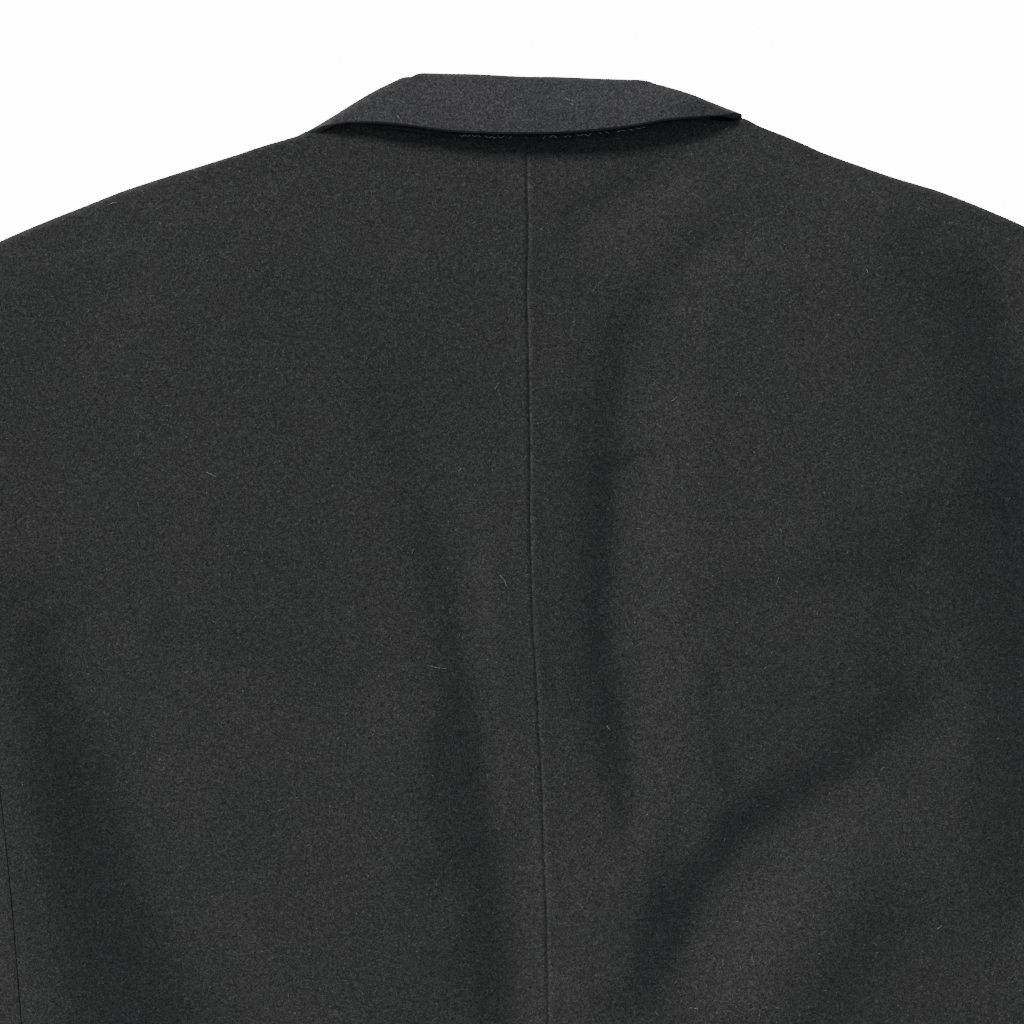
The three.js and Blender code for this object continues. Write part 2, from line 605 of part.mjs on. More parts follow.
// The collar's leaf: the fall outside, over the roll, and the stand inside it
function collar() {
  const stations = collarStations();
  const fallEnd = 1;
  const rollEnd = 2;
  const uSteps = stepsThrough([0, fallEnd, rollEnd, 3], [3, 5, 2]);
  const surface = (u, v) => {
    const length = fallLength(stations, v);
    if (u < fallEnd) return collarPoint(stations, v, length * (1 - u), COLLAR_HALF, FALL_STANDS_OFF);
    if (u > rollEnd) return collarPoint(stations, v, STAND_LENGTH * (u - rollEnd), -COLLAR_HALF, 0);
    const angle = (u - fallEnd) * Math.PI;
    const beyond = -COLLAR_HALF * Math.sin(angle);
    return collarPoint(stations, v, beyond, COLLAR_HALF * Math.cos(angle), 0);
  };
  const vSteps = steps(stations.length - 1).map((t) => t * (stations.length - 1));
  return clothWall('collar', clothMaterial(), uSteps, vSteps, surface, -1, COLLAR_WALL);
}

// The undercollar of felt inside the fold, whose edge shows a little below the leaf
function undercollar() {
  const stations = collarStations();
  const top = FELT / 2;
  const surface = (u, v) => {
    const length = fallLength(stations, v) + FELT_SHOWS;
    return collarPoint(stations, v, lerp(length, FELT_TOP, u), top, FELT_STANDS_OFF);
  };
  const first = stations.findIndex((station) => station.turn === 90) + 1;
  const last = stations.length - 1 - first;
  const vSteps = steps(last - first).map((t) => lerp(first, last, t));
  return clothWall('undercollar', feltMaterial(), steps(FINENESS.felt), vSteps, surface, -1, FELT);
}

// A sew-through button with four holes, lying face down under the right front
function button(number) {
  const shape = new THREE.Shape().absarc(0, 0, BUTTON.radius, 0, 2 * Math.PI);
  for (const [x, y] of [[1, 1], [-1, 1], [-1, -1], [1, -1]]) {
    const spot = [x * BUTTON.spread, y * BUTTON.spread];
    shape.holes.push(new THREE.Path().absarc(...spot, BUTTON.hole, 0, 2 * Math.PI, true));
  }
  const options = { depth: BUTTON.thick, bevelEnabled: false, curveSegments: FINENESS.button };
  const mesh = new THREE.Mesh(new THREE.ExtrudeGeometry(shape, options), buttonMaterial());
  mesh.name = `button_${number}`;
  mesh.position.copy(place('right', BUTTON.out, BUTTON.ups[number - 1], 0));
  return mesh;
}

const jacket = new THREE.Group();
for (const side of ['left', 'right']) {
  jacket.add(backPanel(side), sidePanel(side), frontPanel(side), lapel(side));
  jacket.add(sleevePanel(side, 'top'), sleevePanel(side, 'under'));
}
jacket.add(collar(), undercollar(), button(1), button(2));

// The origin is under the middle of the jacket's box, on the surface
const box = new THREE.Box3().setFromObject(jacket, true);
const middle = box.getCenter(new THREE.Vector3());
jacket.position.set(-middle.x, -middle.y, -box.min.z);

export default jacket;
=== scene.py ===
"""Looks of a black wool melton jacket that lies face down, its back towards the camera."""

import math
import random

import bmesh
import bpy
import numpy as np
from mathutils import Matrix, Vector
from mathutils.bvhtree import BVHTree


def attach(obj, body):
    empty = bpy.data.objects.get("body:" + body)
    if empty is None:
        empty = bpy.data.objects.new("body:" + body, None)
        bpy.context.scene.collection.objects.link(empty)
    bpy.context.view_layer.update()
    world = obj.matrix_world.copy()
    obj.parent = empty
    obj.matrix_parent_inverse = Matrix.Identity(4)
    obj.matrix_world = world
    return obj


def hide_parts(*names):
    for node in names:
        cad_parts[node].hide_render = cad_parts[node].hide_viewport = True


bl_info = {
    "name": "Melton Jacket Laid Flat",
    "version": (1, 0, 0),
    "blender": (4, 5, 0),
    "location": "View3D > Sidebar > Jacket",
    "description": "Builds the looks of a tailored wool jacket lying with its back up",
    "category": "Object",
}

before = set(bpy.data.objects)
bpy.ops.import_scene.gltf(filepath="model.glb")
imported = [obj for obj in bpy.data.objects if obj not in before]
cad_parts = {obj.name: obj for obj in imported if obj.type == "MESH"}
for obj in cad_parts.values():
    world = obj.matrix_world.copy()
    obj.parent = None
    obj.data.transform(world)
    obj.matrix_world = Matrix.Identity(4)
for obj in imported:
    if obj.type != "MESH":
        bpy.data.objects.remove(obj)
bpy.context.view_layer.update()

MM = 0.001
BODY = "root"
SIDES = ("left", "right")

# The nape, where the centre back seam leaves the collar, in the frame's metres, and how far
# that seam leans to the right for each length down the back
NAPE = Vector((-0.01304, 0.36156, 0.0))
SEAM_LEAN = 0.0228

# The photograph's frame: its side in pixels, a pixel's real size and the nape's place in it
PHOTO_SIZE = 1024
PHOTO_MM_PER_PIXEL = 0.4444
PHOTO_NAPE = (526, 136)

# How high the cloth's upper face lies, in metres, and where the key light comes from
CLOTH_TOP = 0.0095
KEY_DIRECTION = Vector((-0.79, 0.61, 0.46))


def linear(hex_colour):
    """Turns an sRGB hex colour into the linear colour that shaders read."""
    parts = [int(hex_colour[i : i + 2], 16) / 255 for i in (1, 3, 5)]
    turned = [p / 12.92 if p <= 0.04045 else ((p + 0.055) / 1.055) ** 2.4 for p in parts]
    return (*turned, 1.0)


def from_nape(x_mm, y_mm, z_mm=0.0):
    """A place given in millimetres from the nape, in the frame's metres."""
    return Vector((NAPE.x + x_mm * MM, NAPE.y + y_mm * MM, z_mm * MM))


# Materials


def set_inputs(node, **values):
    """Sets a node's inputs by name, with an underscore for each space."""
    for key, value in values.items():
        node.inputs[key.replace("_", " ")].default_value = value


def add_node(tree, kind, inputs=(), **settings):
    """Adds a node with its properties and named inputs, and (input, value or socket) pairs."""
    node = tree.nodes.new(kind)
    for key, value in settings.items():
        if hasattr(node, key):
            setattr(node, key, value)
        else:
            set_inputs(node, **{key: value})
    for name, source in inputs:
        if isinstance(source, bpy.types.NodeSocket):
            tree.links.new(source, node.inputs[name])
        else:
            node.inputs[name].default_value = source
    return node


def new_material(name):
    """An empty node material, with its shader and the place that its patterns read."""
    material = bpy.data.materials.new(name)
    material.use_nodes = True
    tree = material.node_tree
    place = add_node(tree, "ShaderNodeTexCoord").outputs["Object"]
    return material, tree, tree.nodes["Principled BSDF"], place


def per_metre(size_mm):
    """A texture scale whose grain has this real size."""
    return 1 / (size_mm * MM)


def set_stops(ramp, stops):
    """Gives a colour ramp its stops, (place, hex colour) rows, and returns its colour."""
    elements = ramp.color_ramp.elements
    while len(elements) < len(stops):
        elements.new(0.5)
    for element, (place, colour) in zip(elements, stops):
        element.position = place
        element.color = linear(colour)
    return ramp.outputs["Color"]


# The nap. Real wool fibres are about 0.02 mm thick, too fine to show, so strands and tufts are
# drawn as coarse as the photograph's grain. `size` is in millimetres and `weight` is the share
# in the grain. A strand bends by its `twist` and is as wide as a noise's reach of `thin`.
LONG_STRANDS = dict(size=1.2, twist=1.2, thin=0.085, weight=0.34)
SHORT_STRANDS = dict(size=0.64, twist=0.8, thin=0.12, weight=0.26)
TUFTS = dict(size=0.9, weight=0.55)
NOISE_MIDDLE = 0.5
NAP_HEIGHT = 0.45

# Pale flecks: one in each cell of `size`, from `centre` out to `rim`, where a cell's own random
# value is over `rare`. Clouds are slow changes of tone over the cloth.
FLECKS = dict(size=3.4, centre=0.04, rim=0.11, rare=0.62, colour="#77777a")
CLOUDS = dict(size=55, tones=[(0.32, "#f0f2f1"), (0.68, "#ffffff")])

# Shades of the grain, from its dark gaps to its bright fibres, and how strongly each nap stands
# up. The collar's shades are the melton's painted lighter, a painted highlight for a collar that
# faces the key light more than the back does. Felt is pressed flat and is darker.
MELTON_SHADES = [(0.25, "#252526"), (0.42, "#303031"), (0.62, "#424243"), (0.85, "#5a5a5b")]
COLLAR_SHADES_PAINTED_LIGHTER = [(0.25, "#2a2a2c"), (0.42, "#363638"), (0.62, "#4a4a4c"), (0.85, "#646466")]
FELT_SHADES = [(0.25, "#1b1b1c"), (0.42, "#242425"), (0.62, "#323233"), (0.85, "#444446")]
MELTON_NAP = 0.34
FELT_NAP = 0.25


def strands(tree, place, size, twist, thin, weight):
    """Curling lines where a noise crosses its middle, the fibres of a raised nap, and a weight."""
    noise = add_node(
        tree,
        "ShaderNodeTexNoise",
        [("Vector", place)],
        Scale=per_metre(size),
        Detail=2.0,
        Roughness=0.55,
        Distortion=twist,
    )
    from_middle = [(0, noise.outputs["Fac"]), (1, NOISE_MIDDLE)]
    middle = add_node(tree, "ShaderNodeMath", from_middle, operation="SUBTRACT")
    away = add_node(tree, "ShaderNodeMath", [(0, middle.outputs[0])], operation="ABSOLUTE")
    line = add_node(
        tree,
        "ShaderNodeMapRange",
        [("Value", away.outputs[0])],
        interpolation_type="SMOOTHSTEP",
        From_Min=thin,
        From_Max=0.0,
    )
    return line.outputs["Result"], weight


def weighed(tree, first, weight, second, second_weight):
    """Adds two values, each times its own weight."""
    scaled = add_node(tree, "ShaderNodeMath", [(0, first), (1, weight)], operation="MULTIPLY")
    parts = [(0, second), (1, second_weight), (2, scaled.outputs[0])]
    return add_node(tree, "ShaderNodeMath", parts, operation="MULTIPLY_ADD").outputs[0]


def wool_grain(tree, place):
    """The height of the nap: strands over strands over tufts."""
    scale = per_metre(TUFTS["size"])
    tufts = add_node(tree, "ShaderNodeTexNoise", [("Vector", place)], Scale=scale, Detail=3.0)
    longer = strands(tree, place, **LONG_STRANDS)
    shorter = strands(tree, place, **SHORT_STRANDS)
    matted = weighed(tree, *longer, *shorter)
    return weighed(tree, matted, 1.0, tufts.outputs["Fac"], TUFTS["weight"])


def fleck_mask(tree, place):
    """Where a pale fleck shows in the wool."""
    scale = per_metre(FLECKS["size"])
    cells = add_node(tree, "ShaderNodeTexVoronoi", [("Vector", place)], Scale=scale)
    spot = add_node(
        tree,
        "ShaderNodeMapRange",
        [("Value", cells.outputs["Distance"])],
        From_Min=FLECKS["rim"],
        From_Max=FLECKS["centre"],
    )
    over = [(0, cells.outputs["Color"]), (1, FLECKS["rare"])]
    chosen = add_node(tree, "ShaderNodeMath", over, operation="GREATER_THAN")
    both = [(0, spot.outputs["Result"]), (1, chosen.outputs[0])]
    return add_node(tree, "ShaderNodeMath", both, operation="MULTIPLY").outputs[0]


def napped_material(name, shades, nap):
    """Wool that is milled and raised: a soft black under a matted, curling nap of fibres."""
    material, tree, shader, place = new_material(name)
    grain = wool_grain(tree, place)
    shade = set_stops(add_node(tree, "ShaderNodeValToRGB", [("Fac", grain)]), shades)
    mixed = [(0, fleck_mask(tree, place)), (6, shade), (7, linear(FLECKS["colour"]))]
    colour = add_node(tree, "ShaderNodeMix", mixed, data_type="RGBA").outputs[2]
    scale = per_metre(CLOUDS["size"])
    clouds = add_node(tree, "ShaderNodeTexNoise", [("Vector", place)], Scale=scale, Detail=3.0)
    tones = add_node(tree, "ShaderNodeValToRGB", [("Fac", clouds.outputs["Fac"])])
    dye = (*bpy.context.scene.jacket_cloth.dye, 1.0)
    for tint in (set_stops(tones, CLOUDS["tones"]), dye):
        product = [(0, 1.0), (6, colour), (7, tint)]
        mix = add_node(tree, "ShaderNodeMix", product, data_type="RGBA", blend_type="MULTIPLY")
        colour = mix.outputs[2]
    tree.links.new(colour, shader.inputs["Base Color"])
    bump = add_node(
        tree, "ShaderNodeBump", [("Height", grain)], Strength=nap, Distance=NAP_HEIGHT * MM
    )
    tree.links.new(bump.outputs["Normal"], shader.inputs["Normal"])
    set_inputs(
        shader,
        Roughness=0.95,
        Specular_IOR_Level=0.18,
        Sheen_Weight=0.12,
        Sheen_Roughness=0.5,
        Sheen_Tint=linear("#c4c4cc"),
    )
    return material


def button_material():
    """Polyester button, cast and tumbled: a dark satin with faint cloudy streaks."""
    material, tree, shader, place = new_material("cast polyester")
    scale = per_metre(size_mm=9)
    streaks = add_node(
        tree,
        "ShaderNodeTexNoise",
        [("Vector", place)],
        Scale=scale,
        Detail=4.0,
        Distortion=2.0,
    )
    ramp = add_node(tree, "ShaderNodeValToRGB", [("Fac", streaks.outputs["Fac"])])
    shade = set_stops(ramp, [(0.3, "#0f0f11"), (0.7, "#242427")])
    tree.links.new(shade, shader.inputs["Base Color"])
    set_inputs(shader, Roughness=0.34)
    return material


def thread_material(name, colour):
    """Spun polyester or a loose wool fibre: a twist of pale and dark, brighter than the cloth."""
    material, tree, shader, place = new_material(name)
    scale = per_metre(size_mm=0.5)
    twist = add_node(tree, "ShaderNodeTexNoise", [("Vector", place)], Scale=scale, Detail=2.0)
    ramp = add_node(tree, "ShaderNodeValToRGB", [("Fac", twist.outputs["Fac"])])
    shade = set_stops(ramp, [(0.35, "#202023"), (0.65, colour)])
    tree.links.new(shade, shader.inputs["Base Color"])
    set_inputs(shader, Roughness=0.6)
    return material


# How brightly the paper glows to the camera alone, so that it shows white as a cut-out does
PAPER_GLOW = 14.0


def paper_material(colour):
    """Seamless paper, rolled and uncoated: pale, with a faint tooth, and white to the camera."""
    material, tree, shader, place = new_material("seamless paper")
    scale = per_metre(size_mm=1.2)
    tooth = add_node(tree, "ShaderNodeTexNoise", [("Vector", place)], Scale=scale, Detail=3.0)
    bump = add_node(tree, "ShaderNodeBump", [("Height", tooth.outputs["Fac"])], Strength=0.03)
    tree.links.new(bump.outputs["Normal"], shader.inputs["Normal"])
    seen = add_node(tree, "ShaderNodeLightPath").outputs["Is Camera Ray"]
    glow = add_node(tree, "ShaderNodeMath", [(0, seen), (1, PAPER_GLOW)], operation="MULTIPLY")
    tree.links.new(glow.outputs[0], shader.inputs["Emission Strength"])
    set_inputs(
        shader,
        Base_Color=(*colour, 1.0),
        Roughness=0.9,
        Specular_IOR_Level=0.2,
        Emission_Color=(1, 1, 1, 1),
    )
    return material


def material_named(name, make):
    """A material that is made once and then shared."""
    return bpy.data.materials.get(name) or make()


# Meshes

# A wall's rim is where it bends more than this. Each rim moves out by a little over half of the
# 0.3 mm between the solids at a seam. Rims are rounded over a width in metres for each cloth.
RIM_ANGLE = math.radians(50)
SEAM_REACH = 0.18 * MM
SOFT_RIM = dict(panel=0.8 * MM, collar=1.1 * MM, felt=0.45 * MM)

# Vertices nearer than this are one, triangles pair up into quads within this angle, and faces
# whose normals' product is over this count as facing the same way
MERGE_REACH = 0.01 * MM
QUAD_ANGLE = math.radians(60)
SAME_WAY = 0.7

# Subdivision levels of panels outside the photograph, and of the collar and its felt
PLAIN_LEVELS = 2
LEAF_LEVELS = 1


def deselect_all():
    """Leaves nothing selected, in object mode."""
    if bpy.context.object and bpy.context.object.mode != "OBJECT":
        bpy.ops.object.mode_set(mode="OBJECT")
    bpy.ops.object.select_all(action="DESELECT")


def select_only(piece):
    """Makes one object the active and only selected one."""
    deselect_all()
    piece.select_set(True)
    bpy.context.view_layer.objects.active = piece


def copy_of_node(node, name):
    """A merged copy of a CAD node's mesh, as its own object with quads where they pair up."""
    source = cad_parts[node]
    piece = bpy.data.objects.new(name, source.data.copy())
    bpy.context.scene.collection.objects.link(piece)
    piece.data.materials.clear()
    select_only(piece)
    bpy.ops.object.mode_set(mode="EDIT")
    bpy.ops.mesh.select_all(action="SELECT")
    bpy.ops.mesh.remove_doubles(threshold=MERGE_REACH)
    bpy.ops.mesh.customdata_custom_splitnormals_clear()
    bpy.ops.mesh.tris_convert_to_quads(face_threshold=QUAD_ANGLE, shape_threshold=QUAD_ANGLE)
    bpy.ops.object.mode_set(mode="OBJECT")
    return piece


def rim_moves(mesh_data, reach):
    """How far each vertex on a wall's rim moves outwards, so that neighbours meet at the seam."""
    mesh_data.normal_update()
    sharp = {
        edge
        for edge in mesh_data.edges
        if len(edge.link_faces) == 2 and edge.calc_face_angle(0.0) > RIM_ANGLE
    }
    moves = {}
    for face in mesh_data.faces:
        if len(face.edges) != 4:
            continue
        edges = list(face.edges)
        opposite = (edges[0] in sharp and edges[2] in sharp) or (
            edges[1] in sharp and edges[3] in sharp
        )
        if not opposite:
            continue
        for vert in face.verts:
            found = moves.setdefault(vert, [])
            if all(face.normal.dot(other) < SAME_WAY for other in found):
                found.append(face.normal.copy())
    return {vert: sum(normals, Vector()) * reach for vert, normals in moves.items()}


def close_seams(piece, reach):
    """Widens a wall at its rim, by the gap that the solids keep and the cloth doesn't."""
    mesh_data = bmesh.new()
    mesh_data.from_mesh(piece.data)
    for vert, move in rim_moves(mesh_data, reach).items():
        vert.co += move
    mesh_data.to_mesh(piece.data)
    mesh_data.free()


def round_cloth(piece, levels, edge):
    """Rounds a wall into soft cloth: beveled rims, then a subdivision surface, both applied."""
    select_only(piece)
    rims = piece.modifiers.new("Soft rims", "BEVEL")
    rims.width = edge
    rims.segments = 2
    rims.limit_method = "ANGLE"
    rims.angle_limit = RIM_ANGLE
    soften = piece.modifiers.new("Soft cloth", "SUBSURF")
    soften.levels = levels
    soften.render_levels = levels
    for name in (rims.name, soften.name):
        bpy.ops.object.modifier_apply(modifier=name)
    bpy.ops.object.shade_smooth()


def points_of(piece):
    """A mesh's vertices as rows of x, y, z."""
    flat = np.empty(len(piece.data.vertices) * 3, np.float32)
    piece.data.vertices.foreach_get("co", flat)
    return flat.reshape(-1, 3).astype(float)


def set_points(piece, points):
    """Moves a mesh's vertices to new places."""
    piece.data.vertices.foreach_set("co", points.astype(np.float32).ravel())
    piece.data.update()


def new_piece(name, points, faces):
    """A new object of points and faces, alone selected."""
    mesh = bpy.data.meshes.new(name)
    mesh.from_pydata([tuple(point) for point in points], [], faces)
    piece = bpy.data.objects.new(name, mesh)
    bpy.context.scene.collection.objects.link(piece)
    select_only(piece)
    return piece


def dress(piece, material, slot, *nodes):
    """Gives a piece its material and body, and hides the CAD nodes that it stands for; `slot` is
    not used.
    """
    piece.data.materials.clear()
    piece.data.materials.append(material)
    if nodes:
        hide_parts(*nodes)
    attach(piece, BODY)
    return piece


# Creases beyond the solids' folds, in millimetres from the nape. Each is a soft trough from
# (x1, y1) to (x2, y2), or a ridge where the depth is below zero. On the side towards the key
# light, the left or upper one, it is `near` wide, and `far` on the other. Where it tapers or
# grows, `ends` holds its near and far widths and its depth at (x2, y2).
BACK_CREASES = [
    # right of the centre back seam
    dict(x1=48, y1=-92, x2=43, y2=-150, near=11, far=26, depth=2.0),
    dict(x1=43, y1=-150, x2=41, y2=-224, near=11, far=24, depth=3.5),
    dict(x1=41, y1=-224, x2=50, y2=-294, near=11, far=23, depth=3.4),
    # towards the lower right
    dict(x1=76, y1=-350, x2=97, y2=-316, near=13, far=36, depth=3.0),
    dict(x1=97, y1=-316, x2=136, y2=-292, near=13, far=38, depth=3.5),
    dict(x1=136, y1=-292, x2=180, y2=-252, near=12, far=36, depth=2.9, ends=(12, 26, 0.9)),
    # left of the seam
    dict(x1=-58, y1=-118, x2=-31, y2=-190, near=11, far=18, depth=0.3, ends=(11, 18, 1.8)),
    dict(x1=-30, y1=-192, x2=-22, y2=-252, near=10, far=20, depth=2.0),
    dict(x1=-22, y1=-252, x2=-11, y2=-318, near=10, far=21, depth=2.2),
    dict(x1=-11, y1=-318, x2=-5, y2=-392, near=14, far=18, depth=2.6),
    # lower left: a crest with a hollow to the right of it, both growing downwards
    dict(x1=-238, y1=-214, x2=-208, y2=-404, near=26, far=15, depth=-1.4, ends=(44, 44, -8.4)),
    dict(x1=-208, y1=-404, x2=-200, y2=-520, near=44, far=44, depth=-8.4, ends=(40, 34, -2)),
    dict(x1=-211, y1=-222, x2=-134, y2=-404, near=11, far=32, depth=1.4, ends=(48, 64, 5.8)),
    dict(x1=-134, y1=-404, x2=-128, y2=-520, near=48, far=64, depth=5.8, ends=(40, 50, 1.6)),
    # right edge
    dict(x1=208, y1=-70, x2=227, y2=-126, near=13, far=12, depth=0.9, ends=(20, 18, 3.6)),
    dict(x1=226, y1=-126, x2=240, y2=-206, near=21, far=18, depth=4.4),
    dict(x1=240, y1=-206, x2=237, y2=-340, near=27, far=18, depth=5.2),
    # at the neck and over the shoulder blades
    dict(x1=25, y1=-38, x2=58, y2=-19, near=8, far=13, depth=1.4),
    dict(x1=50, y1=-86, x2=80, y2=-50, near=10, far=22, depth=1.6),
    dict(x1=152, y1=-58, x2=184, y2=-146, near=74, far=38, depth=-5.6),
    dict(x1=70, y1=-210, x2=138, y2=-202, near=9, far=14, depth=0.9),
    dict(x1=84, y1=-240, x2=92, y2=-282, near=8, far=11, depth=0.8),
    dict(x1=-158, y1=-228, x2=-78, y2=-248, near=13, far=26, depth=1.3),
    dict(x1=-226, y1=-206, x2=-206, y2=-204, near=10, far=16, depth=0.7),
    dict(x1=-150, y1=-262, x2=-148, y2=-282, near=12, far=20, depth=0.4),
    # swells between the troughs
    dict(x1=-46, y1=-270, x2=-42, y2=-318, near=20, far=10, depth=-1.2),
    dict(x1=54, y1=-314, x2=42, y2=-372, near=24, far=12, depth=-2.4),
    dict(x1=-12, y1=-188, x2=-6, y2=-300, near=8, far=9, depth=-0.7),
    dict(x1=140, y1=-338, x2=112, y2=-392, near=28, far=22, depth=-2.2),
    # past the photo's edge
    dict(x1=92, y1=-445, x2=110, y2=-545, near=12, far=20, depth=1.9),
    dict(x1=-40, y1=-460, x2=-24, y2=-610, near=12, far=18, depth=1.8),
    dict(x1=186, y1=-470, x2=158, y2=-610, near=13, far=24, depth=1.9),
    dict(x1=-172, y1=-480, x2=-160, y2=-640, near=14, far=26, depth=2.0),
]
SLEEVE_CREASES = [
    dict(x1=-330, y1=-110, x2=-400, y2=-190, near=12, far=19, depth=0.7),
    dict(x1=-352, y1=-250, x2=-440, y2=-236, near=11, far=17, depth=0.8),
    dict(x1=-372, y1=-320, x2=-470, y2=-318, near=12, far=19, depth=0.9),
    dict(x1=-398, y1=-380, x2=-480, y2=-420, near=12, far=19, depth=0.7),
    dict(x1=-440, y1=-470, x2=-540, y2=-480, near=12, far=19, depth=0.6),
    dict(x1=330, y1=-130, x2=392, y2=-220, near=12, far=19, depth=0.8),
    dict(x1=350, y1=-270, x2=452, y2=-232, near=12, far=19, depth=0.8),
    dict(x1=380, y1=-350, x2=462, y2=-316, near=11, far=17, depth=0.8),
    dict(x1=412, y1=-408, x2=506, y2=-430, near=13, far=20, depth=0.7),
    dict(x1=452, y1=-500, x2=548, y2=-492, near=12, far=19, depth=0.6),
]


# How fast a crease's width changes between its two sides, and the least distance from its line
# that is divided by, in millimetres
SIDE_CHANGE = 2.5
LEAST_OFF = 0.01


def crease_depth(rows, points):
    """How far a set of creases lowers each point, in millimetres: troughs and ridges apart."""
    x = (points[:, 0] - NAPE.x) / MM
    y = (points[:, 1] - NAPE.y) / MM
    trough = np.zeros(len(points))
    ridge = np.zeros(len(points))
    for row in rows:
        dx, dy = row["x2"] - row["x1"], row["y2"] - row["y1"]
        along = ((x - row["x1"]) * dx + (y - row["y1"]) * dy) / (dx * dx + dy * dy)
        t = np.clip(along, 0, 1)
        off_x, off_y = x - row["x1"] - t * dx, y - row["y1"] - t * dy
        off = np.hypot(off_x, off_y)
        side = (off_x * KEY_DIRECTION.x + off_y * KEY_DIRECTION.y) / off.clip(LEAST_OFF)
        near_share = 0.5 + 0.5 * np.clip(side * SIDE_CHANGE, -1, 1)
        ends = row.get("ends", (row["near"], row["far"], row["depth"]))
        near, far, deepest = (
            row[key] * (1 - t) + end * t for key, end in zip(("near", "far", "depth"), ends)
        )
        width = near * near_share + far * (1 - near_share)
        depth = abs(deepest) * np.exp(-((off / width) ** 2))
        if row["depth"] > 0:
            trough = np.maximum(trough, depth)
        else:
            ridge = np.maximum(ridge, depth)
    return trough - ridge


# The rise of the back's middle over its solid: how high, between which heights it starts and is
# full below the neck, and over which widths it fades to the shoulder and to the side, where
# creases fade out faster by SHARPER. `half_back` is where the side fold lies.
PUFF = dict(height=2.6, starts=-10, full=-60, shoulder=26, side=30, half_back=284)
SHARPER = dict(shoulder=1.5, side=2)

# Points over `low` begin to follow the upper wall's creases, and from `blend` higher wholly do
UPPER_WALL = dict(low=4.0, blend=1.4)

# The centre back seam: its pressed ridge, which is higher and lower by a share of `uneven`, the
# groove in it, and how far the line wanders and bows, over which widths beside it
SEAM_RIDGE = dict(width=5.5, height=0.3, uneven=0.3)
SEAM_GROOVE = dict(width=0.8, depth=0.5)
SEAM_WANDER = dict(sideways=0.35, reach=16, shift=40)
BOW_REACH = 56
# How far the seam's line bows off its lean: how high on the back, and how far right
SEAM_PATH = [
    (-540, 0), (-450, 0.6), (-370, 1.3), (-335, 1.0), (-290, 0.6), (-255, -0.5), (-228, -1.4),
    (-202, -1.8), (-160, -1.8), (-122, -1.4), (-68, -0.8), (-42, 0), (0, 0.2),
]
# Three waves that together wander unevenly: each one's share, length and start
WANDER_WAVES = ((0.5, 17.3, 0.6), (0.3, 7.9, 2.1), (0.2, 31, 4))


def wander(y):
    """A slow uneven wave, from -1 to 1, along a length in millimetres."""
    return sum(share * np.sin(y / length + start) for share, length, start in WANDER_WAVES)


def eased(share):
    """A share from 0 to 1 that starts and ends gently."""
    return share * share * (3 - 2 * share)


def smooth_step(value, low, high):
    """Goes gently from 0 to 1 while a value goes from low to high."""
    return eased(min(max((value - low) / (high - low), 0.0), 1.0))


# The shoulder's fold: how high above the nape its middle lies, how far it drops on either side
SHOULDER_PEAK = 6
SHOULDER_DROP = [(0, 0), (95, 4), (120, 10), (235, 51), (255, 62)]


def shoulder_distance(x, y):
    """Rough distance down from the shoulder's edge, in millimetres."""
    return -(y - SHOULDER_PEAK + np.interp(np.abs(x), *zip(*SHOULDER_DROP)))


# How far the shoulder's line stands off its solid's: across the back, and how far up. The move
# fades out over TRIM_REACH below it.
TRIM_REACH = 38
SHOULDER_TRIM = [
    (-300, 0), (-262, 0.6), (-234, 1.3), (-198, 1.3), (-180, 1.7), (-162, 1.3), (-128, 0.5),
    (-118, 0.9), (-109, 1.3), (-102, 1.7), (-98, 2.7), (-92, 1.0), (-80, 0), (80, 0), (92, 1.6),
    (96, 4.4), (98.6, 4.3), (103, 2.9), (108, 2.2), (118, 1.3), (131, 0.4), (148, 0.8), (166, 0.9),
    (184, 1.8), (219, 1.8), (245, 0.8), (262, 0), (300, 0),
]


def trim_shoulder(points):
    """Moves the cloth near the shoulder's fold up to the line that it has in the photo."""
    x, y = (points[:, 0] - NAPE.x) / MM, (points[:, 1] - NAPE.y) / MM
    near_fold = 1 - np.clip(shoulder_distance(x, y) / TRIM_REACH, 0, 1)
    points[:, 1] += np.interp(x, *zip(*SHOULDER_TRIM)) * eased(near_fold) * MM


def fade(x, width):
    """How much of a form beside the seam's line is left at a distance from it."""
    return np.exp(-((x / width) ** 2))


def press_creases(piece, rows, puff=0.0):
    """Presses creases into a panel's upper wall, both faces together, and raises the seam."""
    points = points_of(piece)
    upper = np.clip((points[:, 2] / MM - UPPER_WALL["low"]) / UPPER_WALL["blend"], 0, 1)
    y = (points[:, 1] - NAPE.y) / MM
    x = (points[:, 0] - NAPE.x) / MM + y * SEAM_LEAN
    from_neck = np.clip((PUFF["starts"] - y) / (PUFF["starts"] - PUFF["full"]), 0, 1)
    from_shoulder = np.clip(shoulder_distance(x, y) / PUFF["shoulder"], 0, 1)
    from_side = np.clip((PUFF["half_back"] - np.abs(x)) / PUFF["side"], 0, 1)
    risen = puff * from_neck * from_shoulder * from_side
    uneven = 1 + SEAM_RIDGE["uneven"] * wander(y)
    ridge = SEAM_RIDGE["height"] * uneven * fade(x, SEAM_RIDGE["width"])
    groove = SEAM_GROOVE["depth"] * fade(x, SEAM_GROOVE["width"])
    creased = crease_depth(rows, points) * np.clip(from_shoulder * SHARPER["shoulder"], 0, 1)
    creased *= np.clip(from_side * SHARPER["side"], 0, 1)
    points[:, 2] += (risen + ridge - groove - creased) * MM * upper
    trim_shoulder(points)
    drift = SEAM_WANDER["sideways"] * wander(y + SEAM_WANDER["shift"])
    bow = np.interp(y, *zip(*SEAM_PATH))
    moved = drift * fade(x, SEAM_WANDER["reach"]) + bow * fade(x, BOW_REACH)
    points[:, 0] += moved * MM * upper
    set_points(piece, points)


